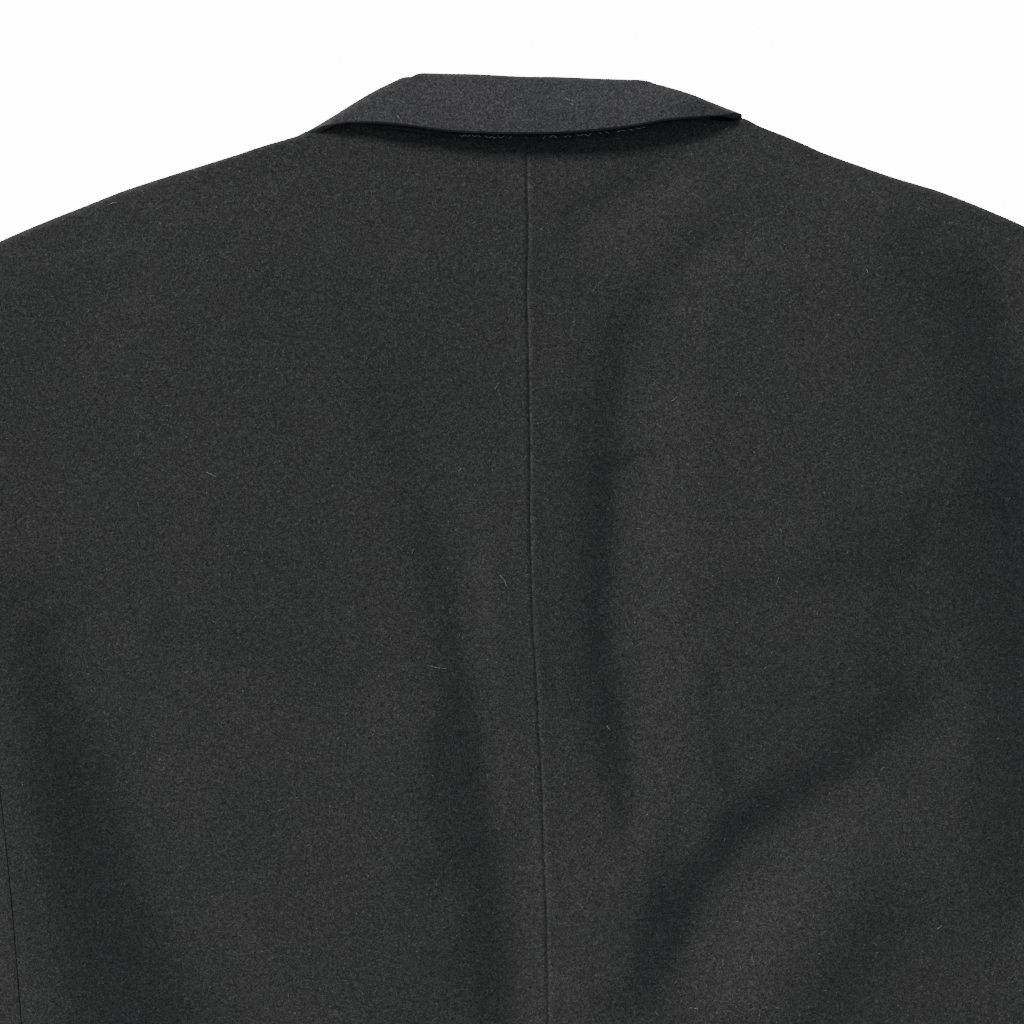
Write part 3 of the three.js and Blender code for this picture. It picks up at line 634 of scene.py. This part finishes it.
# The collar. Its stations run from the centre back round to the front end, in millimetres
# from the nape; `turn` is where the leaf faces, 90 up on the back and -90 down on the front.
COLLAR_COLUMNS = ("roll_out", "roll_up", "edge_out", "edge_up", "turn")
COLLAR_STATIONS = {
    "left": [
        (0, 23.0, 0, 0.3, 90),
        (12, 23.7, 18, 0.6, 90),
        (24, 24.5, 35, 1.5, 90),
        (36, 24.9, 50, 3.6, 90),
        (45, 25.4, 62, 4.8, 90),
        (50, 25.7, 74, 5.4, 90),
        (52.3, 24.8, 83, 4.8, 90),
        (53, 22.8, 88, 0.8, 60),
        (53, 20.8, 92, -2.8, 30),
        (53, 19.4, 95, -4.4, 0),
        (53, 19.3, 94.4, -5.2, -30),
        (54, 18.4, 95, -8.2, -60),
        (56, 15, 98, -13, -90),
        (62, -4, 104, -26, -90),
        (65, -34, 109, -46, -90),
        (64, -64, 110, -66, -90),
    ],
    "right": [
        (0, 23.0, 0, 0.3, 90),
        (12, 23.1, 18, 0.8, 90),
        (24, 23.0, 35, 2.2, 90),
        (36, 22.8, 50, 4.2, 90),
        (46, 22.8, 62, 6.4, 90),
        (53.5, 23.0, 75, 7.7, 90),
        (57.3, 22.6, 85.5, 8.4, 90),
        (58, 19.6, 88.6, 6.4, 60),
        (57.6, 17.4, 91.2, 4.3, 30),
        (57.5, 16.4, 93.8, 3.3, 0),
        (57.8, 15.7, 94.0, 0.6, -30),
        (58, 14.6, 94.4, -4.6, -60),
        (59, 12, 99, -12, -90),
        (63, -4, 105, -25, -90),
        (65, -34, 109, -46, -90),
        (64, -64, 110, -66, -90),
    ],
}
# Where the leaf turns more than this, it lies on the back and faces up
ON_THE_BACK = 88

# The leaf's wall, half the fold's thickness, how high its middle lies on the fronts and on the
# back, the stand's width, and how far the roll sinks at its crest and where that ends
COLLAR = dict(wall=2.6, half=3.5, low=3.5, high=10.9, stand=14.0, roll_drop=1.6, drop_ends=16)

# How far the fall's edge lifts: `middle` from the nape out to `full`, and `end` from `none` on.
# What lies past the edge goes on lifting up to `past_edge` of the fall's length.
FALL_LIFT = dict(middle=4.0, end=-0.6, full=58, none=96, past_edge=1.2)

# The felt's wall, how far it shows below the fall and unevenly so, how far it stands off the
# fall, where its hidden upper edge lies, and what it keeps free at either end, in stations
FELT = dict(wall=1.2, shows=2.0, uneven=0.12, stands_off=-0.9, top=8.0, free=0.5)
FELT_WAVES = 40

# How many faces the fall, the roll and the stand have across and a station has along, and how
# many the felt has across and along
COLLAR_STEPS = dict(fall=10, roll=8, stand=5, station=5)
FELT_STEPS = dict(across=6, along=60)


def collar_rows():
    """All stations from the left front end to the right one, with signed sideways places."""
    rows = []
    for side, sign in (("left", -1), ("right", 1)):
        stations = [dict(zip(COLLAR_COLUMNS, row)) for row in COLLAR_STATIONS[side]]
        for row in stations:
            row["roll_out"] *= sign
            row["edge_out"] *= sign
        rows.append(stations)
    return rows[0][:0:-1] + rows[1]


def smooth_read(rows, place, column):
    """Reads a column at a place counted in rows, on a smooth curve through them."""
    last = len(rows) - 1
    row = min(int(place), last - 1)
    t = place - row
    a, b, c, d = (rows[min(max(row + k, 0), last)][column] for k in (-1, 0, 1, 2))
    return b + 0.5 * t * (c - a + t * (2 * a - 5 * b + 4 * c - d + t * (3 * (b - c) + d - a)))


class CollarForm:
    """The surface between the collar's two faces, along its stations."""

    def __init__(self):
        self.rows = collar_rows()
        self.last = len(self.rows) - 1
        backs = [i for i, row in enumerate(self.rows) if row["turn"] > ON_THE_BACK]
        self.back_start, self.back_end = backs[0], backs[-1]

    def frame_at(self, place):
        """At one place: the roll's point, the ways down the fall and out of it, the fall's
        length and how far it faces up."""
        read = {column: smooth_read(self.rows, place, column) for column in COLLAR_COLUMNS}
        roll = Vector((read["roll_out"], read["roll_up"], 0))
        edge = Vector((read["edge_out"], read["edge_up"], 0))
        fall = (edge - roll).normalized()
        turn = math.radians(min(max(read["turn"], -90), 90))
        sideways = Vector((-fall.y, fall.x, 0))
        if read["turn"] < ON_THE_BACK:
            if sideways.x * read["roll_out"] < 0:
                sideways.negate()
        elif sideways.y < 0:
            sideways.negate()
        out = sideways * math.cos(turn) + Vector((0, 0, math.sin(turn)))
        return roll, fall, out, (edge - roll).length, math.sin(turn)

    def length(self, place):
        """The fall's length at one place, in millimetres."""
        return self.frame_at(place)[3]

    def point(self, place, down, height, stands_off):
        """A point `down` from the roll and `height` out of the fold's middle, in metres."""
        roll, fall, out, length, facing = self.frame_at(place)
        ring = (COLLAR["high"] - COLLAR["low"]) / 2
        up = max(facing, 0)
        share = min(max(down / length, 0), FALL_LIFT["past_edge"])
        to_end = smooth_step(abs(roll.x + fall.x * down), FALL_LIFT["full"], FALL_LIFT["none"])
        lift = FALL_LIFT["middle"] * (1 - to_end) + FALL_LIFT["end"] * to_end
        lifted = (lift + stands_off) * share * up * (height > 0)
        at_crest = 1 - smooth_step(down, -COLLAR["half"], COLLAR["drop_ends"])
        lifted -= COLLAR["roll_drop"] * up * at_crest * (height > 0)
        at = roll + fall * down + out * (ring + height + lifted)
        at.z += (COLLAR["high"] + COLLAR["low"]) / 2
        return from_nape(at.x, at.y, at.z)


def wall_mesh(name, surface, across, along, wall):
    """A closed wall between a surface's points and the same points moved inwards."""
    outer = [[surface(u, v) for u in across] for v in along]
    grid = np.array([[tuple(p) for p in row] for row in outer])
    step_u = np.gradient(grid, axis=1)
    step_v = np.gradient(grid, axis=0)
    normals = np.cross(step_v, step_u)
    normals /= np.linalg.norm(normals, axis=2, keepdims=True)
    inner = grid - normals * wall * MM
    rows, columns = grid.shape[:2]
    points = np.concatenate([grid.reshape(-1, 3), inner.reshape(-1, 3)])
    shift = rows * columns

    def at(row, column):
        return row * columns + column

    faces = []
    for row in range(rows - 1):
        for column in range(columns - 1):
            near = [at(row, column), at(row, column + 1)]
            quad = [*near, at(row + 1, column + 1), at(row + 1, column)]
            faces.append(quad[::-1])
            faces.append([corner + shift for corner in quad])
    for row in range(rows - 1):
        for column in (0, columns - 1):
            a, b = at(row, column), at(row + 1, column)
            faces.append([a, b, b + shift, a + shift])
    for column in range(columns - 1):
        for row in (0, rows - 1):
            a, b = at(row, column), at(row, column + 1)
            faces.append([a, b, b + shift, a + shift])
    piece = new_piece(name, points, faces)
    bpy.ops.object.mode_set(mode="EDIT")
    bpy.ops.mesh.select_all(action="SELECT")
    bpy.ops.mesh.normals_make_consistent(inside=False)
    bpy.ops.object.mode_set(mode="OBJECT")
    return piece


def fine_steps(*stops):
    """Steps through (start, end, count) stretches that follow each other."""
    steps = [stops[0][0]]
    for start, end, count in stops:
        steps += [start + (end - start) * (i + 1) / count for i in range(count)]
    return steps


def collar_leaf():
    """The fall, the roll and the stand as one soft wall."""
    form = CollarForm()
    half = COLLAR["half"]

    def surface(u, v):
        # u runs down the fall's length up to 1, round the roll up to 2 and down the stand to 3
        if u < 1:
            return form.point(v, form.length(v) * (1 - u), half, 0)
        if u > 2:
            return form.point(v, COLLAR["stand"] * (u - 2), -half, 0)
        angle = (u - 1) * math.pi
        return form.point(v, -half * math.sin(angle), half * math.cos(angle), 0)

    counts = (COLLAR_STEPS[part] for part in ("fall", "roll", "stand"))
    across = fine_steps(*((start, start + 1, count) for start, count in enumerate(counts)))
    along = fine_steps((0, form.last, form.last * COLLAR_STEPS["station"]))
    return wall_mesh("collar_cloth", surface, across, along, COLLAR["wall"])


def felt_leaf():
    """The felt under the fall, whose edge shows a little below it."""
    form = CollarForm()

    def surface(u, v):
        uneven = 1 + FELT["uneven"] * wander(FELT_WAVES * v)
        length = form.length(v) + FELT["shows"] * uneven
        down = length + (FELT["top"] - length) * u
        return form.point(v, down, FELT["wall"] / 2, FELT["stands_off"])

    across = fine_steps((0, 1, FELT_STEPS["across"]))
    start, end = form.back_start + FELT["free"], form.back_end - FELT["free"]
    along = fine_steps((start, end, FELT_STEPS["along"]))
    return wall_mesh("undercollar_cloth", surface, across, along, FELT["wall"])


# Settings that a user would change, and the operators


class JacketCloth(bpy.types.PropertyGroup):
    """The cloth's looks."""

    smoothness: bpy.props.IntProperty(
        name="Smoothness",
        description="Subdivision levels of the back and the side panels",
        default=3,
        min=1,
        max=4,
    )
    dye: bpy.props.FloatVectorProperty(
        name="Dye",
        description="Colour that the wool's own black is multiplied by",
        default=(1.0, 1.0, 1.0),
        subtype="COLOR",
        min=0.0,
    )


class JacketStage(bpy.types.PropertyGroup):
    """Floor, light and camera."""

    floor_size: bpy.props.FloatProperty(
        name="Floor size",
        description="Side of the pale floor",
        default=6.0,
        subtype="DISTANCE",
        unit="LENGTH",
    )
    floor_colour: bpy.props.FloatVectorProperty(
        name="Floor colour",
        description="Colour of the paper that the jacket lies on",
        default=linear("#f4f4f4")[:3],
        subtype="COLOR",
    )
    camera_height: bpy.props.FloatProperty(
        name="Camera height",
        description="Distance from the cloth to the lens",
        default=1.1,
        subtype="DISTANCE",
        unit="LENGTH",
    )
    key_strength: bpy.props.FloatProperty(
        name="Key light",
        description="Strength of the soft light from the upper left",
        default=3.8,
        min=0.0,
    )
    key_softness: bpy.props.FloatProperty(
        name="Key softness",
        description="How wide the key light looks from the cloth",
        default=math.radians(12),
        subtype="ANGLE",
        unit="ROTATION",
    )
    key_colour: bpy.props.FloatVectorProperty(
        name="Key colour",
        description="Colour of the soft light from the upper left",
        default=linear("#fffaf8")[:3],
        subtype="COLOR",
    )
    fill_strength: bpy.props.FloatProperty(
        name="Fill",
        description="Strength of the even light from all round",
        default=0.33,
        min=0.0,
    )
    fill_colour: bpy.props.FloatVectorProperty(
        name="Fill colour",
        description="Colour of the even light from all round",
        default=linear("#f2fbfd")[:3],
        subtype="COLOR",
    )


def camera_target():
    """The place on the cloth at the middle of the photograph's frame."""
    middle = PHOTO_SIZE / 2
    x_mm = (middle - PHOTO_NAPE[0]) * PHOTO_MM_PER_PIXEL
    y_mm = (PHOTO_NAPE[1] - middle) * PHOTO_MM_PER_PIXEL
    return from_nape(x_mm, y_mm, CLOTH_TOP / MM)


class JACKET_OT_camera(bpy.types.Operator):
    """Looks straight down at the upper back, framed as the photograph is"""

    bl_idname = "jacket.camera"
    bl_label = "Camera"

    def execute(self, context):
        height = context.scene.jacket_stage.camera_height
        deselect_all()
        target = camera_target()
        bpy.ops.object.camera_add(location=target + Vector((0, 0, height)), rotation=(0, 0, 0))
        camera = bpy.context.object
        camera.name = "camera"
        camera.data.angle = 2 * math.atan(PHOTO_SIZE * PHOTO_MM_PER_PIXEL * MM / 2 / height)
        context.scene.camera = camera
        return {"FINISHED"}


class JACKET_OT_stage(bpy.types.Operator):
    """Adds the pale floor and the soft studio light"""

    bl_idname = "jacket.stage"
    bl_label = "Stage"

    def execute(self, context):
        stage = context.scene.jacket_stage
        deselect_all()
        bpy.ops.mesh.primitive_plane_add(size=stage.floor_size, location=(0, 0, 0))
        floor = bpy.context.object
        floor.name = "floor"
        floor.data.materials.append(paper_material(stage.floor_colour))
        world = context.scene.world or bpy.data.worlds.new("studio")
        context.scene.world = world
        world.use_nodes = True
        background = world.node_tree.nodes["Background"]
        background.inputs["Color"].default_value = (*stage.fill_colour, 1.0)
        background.inputs["Strength"].default_value = stage.fill_strength
        deselect_all()
        bpy.ops.object.light_add(type="SUN", location=camera_target() + KEY_DIRECTION)
        key = bpy.context.object
        key.name = "key light"
        key.data.energy = stage.key_strength
        key.data.angle = stage.key_softness
        key.data.color = stage.key_colour
        key.rotation_euler = (-KEY_DIRECTION).to_track_quat("-Z", "Y").to_euler()
        return {"FINISHED"}


def cloth_panel(node, creases, levels=None, puff=0.0):
    """A panel of cloth on its solid's form, rounded and creased."""
    piece = copy_of_node(node, f"{node}_cloth")
    close_seams(piece, SEAM_REACH)
    smoothness = bpy.context.scene.jacket_cloth.smoothness
    round_cloth(piece, levels or smoothness, SOFT_RIM["panel"])
    if creases:
        press_creases(piece, creases, puff)
    name = "wool melton"
    melton = material_named(name, lambda: napped_material(name, MELTON_SHADES, MELTON_NAP))
    return dress(piece, melton, "melton", node)


class JACKET_OT_back(bpy.types.Operator):
    """Makes both halves of the back with their creases"""

    bl_idname = "jacket.back"
    bl_label = "Back"

    def execute(self, context):
        for side in SIDES:
            piece = cloth_panel(f"back_{side}", BACK_CREASES, puff=PUFF["height"])
        return {"FINISHED"}


class JACKET_OT_sides(bpy.types.Operator):
    """Makes the side panels round the side folds"""

    bl_idname = "jacket.sides"
    bl_label = "Side panels"

    def execute(self, context):
        for side in SIDES:
            piece = cloth_panel(f"side_{side}", BACK_CREASES, puff=PUFF["height"])
        return {"FINISHED"}


class JACKET_OT_fronts(bpy.types.Operator):
    """Makes the fronts and their lapels underneath"""

    bl_idname = "jacket.fronts"
    bl_label = "Fronts and lapels"

    def execute(self, context):
        for side in SIDES:
            piece = cloth_panel(f"front_{side}", [], PLAIN_LEVELS)
            piece = cloth_panel(f"lapel_{side}", [], PLAIN_LEVELS)
        return {"FINISHED"}


class JACKET_OT_sleeves(bpy.types.Operator):
    """Makes the two-piece sleeves"""

    bl_idname = "jacket.sleeves"
    bl_label = "Sleeves"

    def execute(self, context):
        for side in SIDES:
            for cut in ("topsleeve", "undersleeve"):
                piece = cloth_panel(f"{cut}_{side}", SLEEVE_CREASES, PLAIN_LEVELS)
        return {"FINISHED"}


class JACKET_OT_collar(bpy.types.Operator):
    """Makes the collar's leaf and the felt undercollar"""

    bl_idname = "jacket.collar"
    bl_label = "Collar"

    def execute(self, context):
        leaf = collar_leaf()
        round_cloth(leaf, LEAF_LEVELS, SOFT_RIM["collar"])
        # The leaf's wool is the melton painted lighter: a painted highlight, not a different
        # cloth.
        leaf_wool = napped_material("wool melton painted lighter", COLLAR_SHADES_PAINTED_LIGHTER, MELTON_NAP)
        dress(leaf, leaf_wool, "melton", "collar")
        felt = felt_leaf()
        round_cloth(felt, LEAF_LEVELS, SOFT_RIM["felt"])
        pressed_wool = napped_material("undercollar felt", FELT_SHADES, FELT_NAP)
        dress(felt, pressed_wool, "undercollar_felt", "undercollar")
        return {"FINISHED"}


# How thin a tube is at its ends, and the least length that gives it a direction
TUBE_END = 0.45
NO_LENGTH = 1e-9


def tube_along(points, radius, sides=5):
    """Vertices and faces of a thin tube along a line of points, closed at its ends."""
    verts, faces = [], []
    last = len(points) - 1
    for i, point in enumerate(points):
        ahead = points[min(i + 1, last)] - points[max(i - 1, 0)]
        across = ahead.cross(Vector((0, 0, 1)))
        across = across.normalized() if across.length > NO_LENGTH else Vector((1, 0, 0))
        above = across.cross(ahead).normalized()
        thin = radius * (TUBE_END if i in (0, last) else 1.0)
        for k in range(sides):
            angle = 2 * math.pi * k / sides
            verts.append(point + across * thin * math.cos(angle) + above * thin * math.sin(angle))
    for i in range(last):
        for k in range(sides):
            a, b = i * sides + k, i * sides + (k + 1) % sides
            faces.append((a, b, b + sides, a + sides))
    faces.append(tuple(range(sides))[::-1])
    faces.append(tuple(last * sides + k for k in range(sides)))
    return verts, faces


def joined_tubes(name, lines, radius):
    """One mesh of many thin tubes."""
    verts, faces = [], []
    for points in lines:
        more_verts, more_faces = tube_along(points, radius)
        shift = len(verts)
        verts += more_verts
        faces += [tuple(corner + shift for corner in face) for face in more_faces]
    piece = new_piece(name, verts, faces)
    bpy.ops.object.shade_smooth()
    return piece


# The zigzag that sews the felt to the leaf, in millimetres. A stitch lies `proud` of the felt and
# arches by as much. Its ends are off by up to `jitter` and its pitch is multiplied by `shorter`
# to `longer`. A share of `missed` is sunk in the felt and left out.
ZIGZAG = dict(pitch=1.5, depth=1.0, radius=0.17, inset=-0.2, start=-29, end=53, proud=0.12)
ZIGZAG_CHANCE = dict(seed=7, jitter=0.3, shorter=0.7, longer=1.35, missed=0.3)
EDGE_SAMPLES = 400


def zigzag_lines():
    """The zigzag's stitches along the felt's edge, each a little different."""
    form = CollarForm()
    chance = ZIGZAG_CHANCE
    dice = random.Random(chance["seed"])
    places = np.linspace(form.back_start, form.back_end, EDGE_SAMPLES)
    outs = [form.point(v, form.length(v), 0, 0).x for v in places]
    corners = []
    out, top = ZIGZAG["start"], True
    while out < ZIGZAG["end"]:
        v = float(np.interp((out + NAPE.x / MM) * MM, outs, places))
        reach = FELT["shows"] - ZIGZAG["inset"] - (ZIGZAG["depth"] if top else 0)
        down = form.length(v) + reach + dice.uniform(-chance["jitter"], chance["jitter"])
        height = FELT["wall"] / 2 + ZIGZAG["proud"]
        corners.append(form.point(v, down, height, FELT["stands_off"]))
        out += ZIGZAG["pitch"] * dice.uniform(chance["shorter"], chance["longer"])
        top = not top
    arch = Vector((0, 0, ZIGZAG["proud"] * MM))
    return [
        [a, a.lerp(b, 0.5) + arch, b]
        for a, b in zip(corners, corners[1:])
        if dice.random() > chance["missed"]
    ]


class JACKET_OT_stitches(bpy.types.Operator):
    """Sews the zigzag along the felt's edge"""

    bl_idname = "jacket.stitches"
    bl_label = "Stitches"

    def execute(self, context):
        piece = joined_tubes("felt_stitches", zigzag_lines(), ZIGZAG["radius"] * MM)
        dress(piece, thread_material("polyester thread", "#c4c4c8"), "undercollar_felt")
        return {"FINISHED"}


# Pale lint that lies on the nap: its place from the nape and its length in millimetres, and its
# direction in degrees
LINT = [
    dict(x=-185.7, y=-30.7, length=4.5, angle=35),
    dict(x=-136.9, y=-152, length=5.5, angle=140),
    dict(x=-42.7, y=-235.1, length=8, angle=-20),
    dict(x=-13.8, y=-112.9, length=4, angle=60),
    dict(x=-11.6, y=-195.1, length=6, angle=-40),
    dict(x=17.3, y=16, length=5, angle=-35),
    dict(x=19.5, y=13.4, length=4.2, angle=-30),
    dict(x=1.8, y=5.2, length=2.4, angle=35),
    dict(x=110.7, y=-199.5, length=4, angle=70),
    dict(x=72, y=-387.1, length=5, angle=10),
    dict(x=-92, y=16, length=4, angle=62),
    dict(x=-57, y=8, length=5, angle=-48),
    dict(x=88, y=2.5, length=3, angle=30),
    dict(x=-30, y=-150, length=3, angle=80),
    dict(x=64, y=-118, length=3.5, angle=15),
    dict(x=150, y=-60, length=3, angle=-60),
    dict(x=-160, y=-120, length=3.2, angle=10),
    dict(x=-110, y=-300, length=3.6, angle=50),
    dict(x=36, y=-262, length=3, angle=-70),
    dict(x=182, y=-352, length=3.4, angle=24),
]
LINT_CURL = 1.4

# Stray fibres of the nap, scattered over the area between x1, y1 and x2, y2 in millimetres
STRAY = dict(count=1500, shortest=0.8, longest=3.2, curl=2.6, x1=-300, x2=300, y1=-700, y2=20)

# What hairs of both kinds look like: radius, how high their middle lies over the cloth, colour
HAIRS = {
    "lint": dict(radius=0.11, rise=0.12, colour="#bdbdbf"),
    "stray_fibres": dict(radius=0.075, rise=0.06, colour="#98989a"),
}
HAIR_STEPS = dict(fewest=4, each_mm=1.6)
HAIR_SEED = 21

# Hairs lie only on cloth that is at least this high, and it is looked for from this far above
LEAST_HEIGHT = 7 * MM
WELL_ABOVE = 0.1


def cloth_trees():
    """Search trees of the pieces that lint lies on."""
    cuts = ("back", "side", "topsleeve", "undersleeve")
    trees = []
    for node in ("collar", *(f"{cut}_{side}" for cut in cuts for side in SIDES)):
        piece = bpy.data.objects[f"{node}_cloth"]
        faces = [tuple(polygon.vertices) for polygon in piece.data.polygons]
        verts = [vertex.co.copy() for vertex in piece.data.vertices]
        trees.append(BVHTree.FromPolygons(verts, faces))
    return trees


def resting_height(trees, x, y):
    """Height of the uppermost cloth at a place, or None beside the jacket."""
    above, down = Vector((x, y, WELL_ABOVE)), Vector((0, 0, -1))
    hits = [tree.ray_cast(above, down)[0] for tree in trees]
    heights = [hit.z for hit in hits if hit is not None]
    return max(heights) if heights else None


def hair(trees, x_mm, y_mm, length, heading, curl, rise):
    """A curling hair that lies on the cloth: its points, or None where it would leave it."""
    points = []
    steps = max(HAIR_STEPS["fewest"], int(length * HAIR_STEPS["each_mm"]))
    place = from_nape(x_mm, y_mm)
    for _ in range(steps + 1):
        height = resting_height(trees, place.x, place.y)
        if height is None or height < LEAST_HEIGHT:
            return None
        points.append(Vector((place.x, place.y, height + rise * MM)))
        place = place + Vector((math.cos(heading), math.sin(heading), 0)) * (length * MM / steps)
        heading += curl / steps
    return points


class JACKET_OT_lint(bpy.types.Operator):
    """Lays pale lint and stray fibres on the nap"""

    bl_idname = "jacket.lint"
    bl_label = "Lint"

    def execute(self, context):
        dice = random.Random(HAIR_SEED)
        laid = {"lint": [], "stray_fibres": []}
        for row in LINT:
            curl = dice.uniform(-LINT_CURL, LINT_CURL)
            angle = math.radians(row["angle"])
            laid["lint"].append((row["x"], row["y"], row["length"], angle, curl))
        for _ in range(STRAY["count"]):
            x = dice.uniform(STRAY["x1"], STRAY["x2"])
            y = dice.uniform(STRAY["y1"], STRAY["y2"])
            length = dice.uniform(STRAY["shortest"], STRAY["longest"])
            angle = dice.uniform(0, 2 * math.pi)
            curl = dice.uniform(-STRAY["curl"], STRAY["curl"])
            laid["stray_fibres"].append((x, y, length, angle, curl))
        trees = cloth_trees()
        for name, look in HAIRS.items():
            hairs = [hair(trees, *row, look["rise"]) for row in laid[name]]
            piece = joined_tubes(name, [points for points in hairs if points], look["radius"] * MM)
            wool = thread_material(f"{name.replace('_', ' ')} wool", look["colour"])
            dress(piece, wool, "melton")
        return {"FINISHED"}


# A button's edges over `sharp` are rounded, and its faces shade smoothly up to `smooth`
BUTTON_RIM = dict(width=0.4 * MM, sharp=math.radians(40), smooth=math.radians(35))
BUTTONS = (1, 2)


class JACKET_OT_buttons(bpy.types.Operator):
    """Finishes the buttons with softened rims"""

    bl_idname = "jacket.buttons"
    bl_label = "Buttons"

    def execute(self, context):
        for number in BUTTONS:
            node = f"button_{number}"
            piece = copy_of_node(node, f"{node}_disc")
            rim = piece.modifiers.new("Rim", "BEVEL")
            rim.width = BUTTON_RIM["width"]
            rim.segments = 3
            rim.angle_limit = BUTTON_RIM["sharp"]
            bpy.ops.object.modifier_apply(modifier=rim.name)
            bpy.ops.object.shade_smooth_by_angle(angle=BUTTON_RIM["smooth"])
            dress(piece, material_named("cast polyester", button_material), "button", node)
        return {"FINISHED"}


class JACKET_PT_panel(bpy.types.Panel):
    """Lists the jacket's pieces in the sidebar"""

    bl_label = "Jacket"
    bl_idname = "JACKET_PT_panel"
    bl_space_type = "VIEW_3D"
    bl_region_type = "UI"
    bl_category = "Jacket"

    def draw(self, context):
        for group in (context.scene.jacket_cloth, context.scene.jacket_stage):
            for name in type(group).__annotations__:
                self.layout.prop(group, name)
        for operator in OPERATORS:
            self.layout.operator(operator.bl_idname)


OPERATORS = (
    JACKET_OT_camera,
    JACKET_OT_stage,
    JACKET_OT_back,
    JACKET_OT_sides,
    JACKET_OT_fronts,
    JACKET_OT_sleeves,
    JACKET_OT_collar,
    JACKET_OT_stitches,
    JACKET_OT_lint,
    JACKET_OT_buttons,
)
CLASSES = (JacketCloth, JacketStage, *OPERATORS, JACKET_PT_panel)


def register():
    """Adds the classes to Blender, and their settings to the scene."""
    for cls in CLASSES:
        bpy.utils.register_class(cls)
    bpy.types.Scene.jacket_cloth = bpy.props.PointerProperty(type=JacketCloth)
    bpy.types.Scene.jacket_stage = bpy.props.PointerProperty(type=JacketStage)


def unregister():
    """Takes the settings and the classes away again."""
    del bpy.types.Scene.jacket_stage
    del bpy.types.Scene.jacket_cloth
    for cls in reversed(CLASSES):
        bpy.utils.unregister_class(cls)


def main():
    """Builds the looks piece by piece."""
    register()
    bpy.ops.jacket.camera()
    bpy.ops.jacket.stage()
    bpy.ops.jacket.back()
    bpy.ops.jacket.sides()
    bpy.ops.jacket.fronts()
    bpy.ops.jacket.sleeves()
    bpy.ops.jacket.collar()
    bpy.ops.jacket.stitches()
    bpy.ops.jacket.lint()
    bpy.ops.jacket.buttons()


if __name__ == "__main__":
    main()
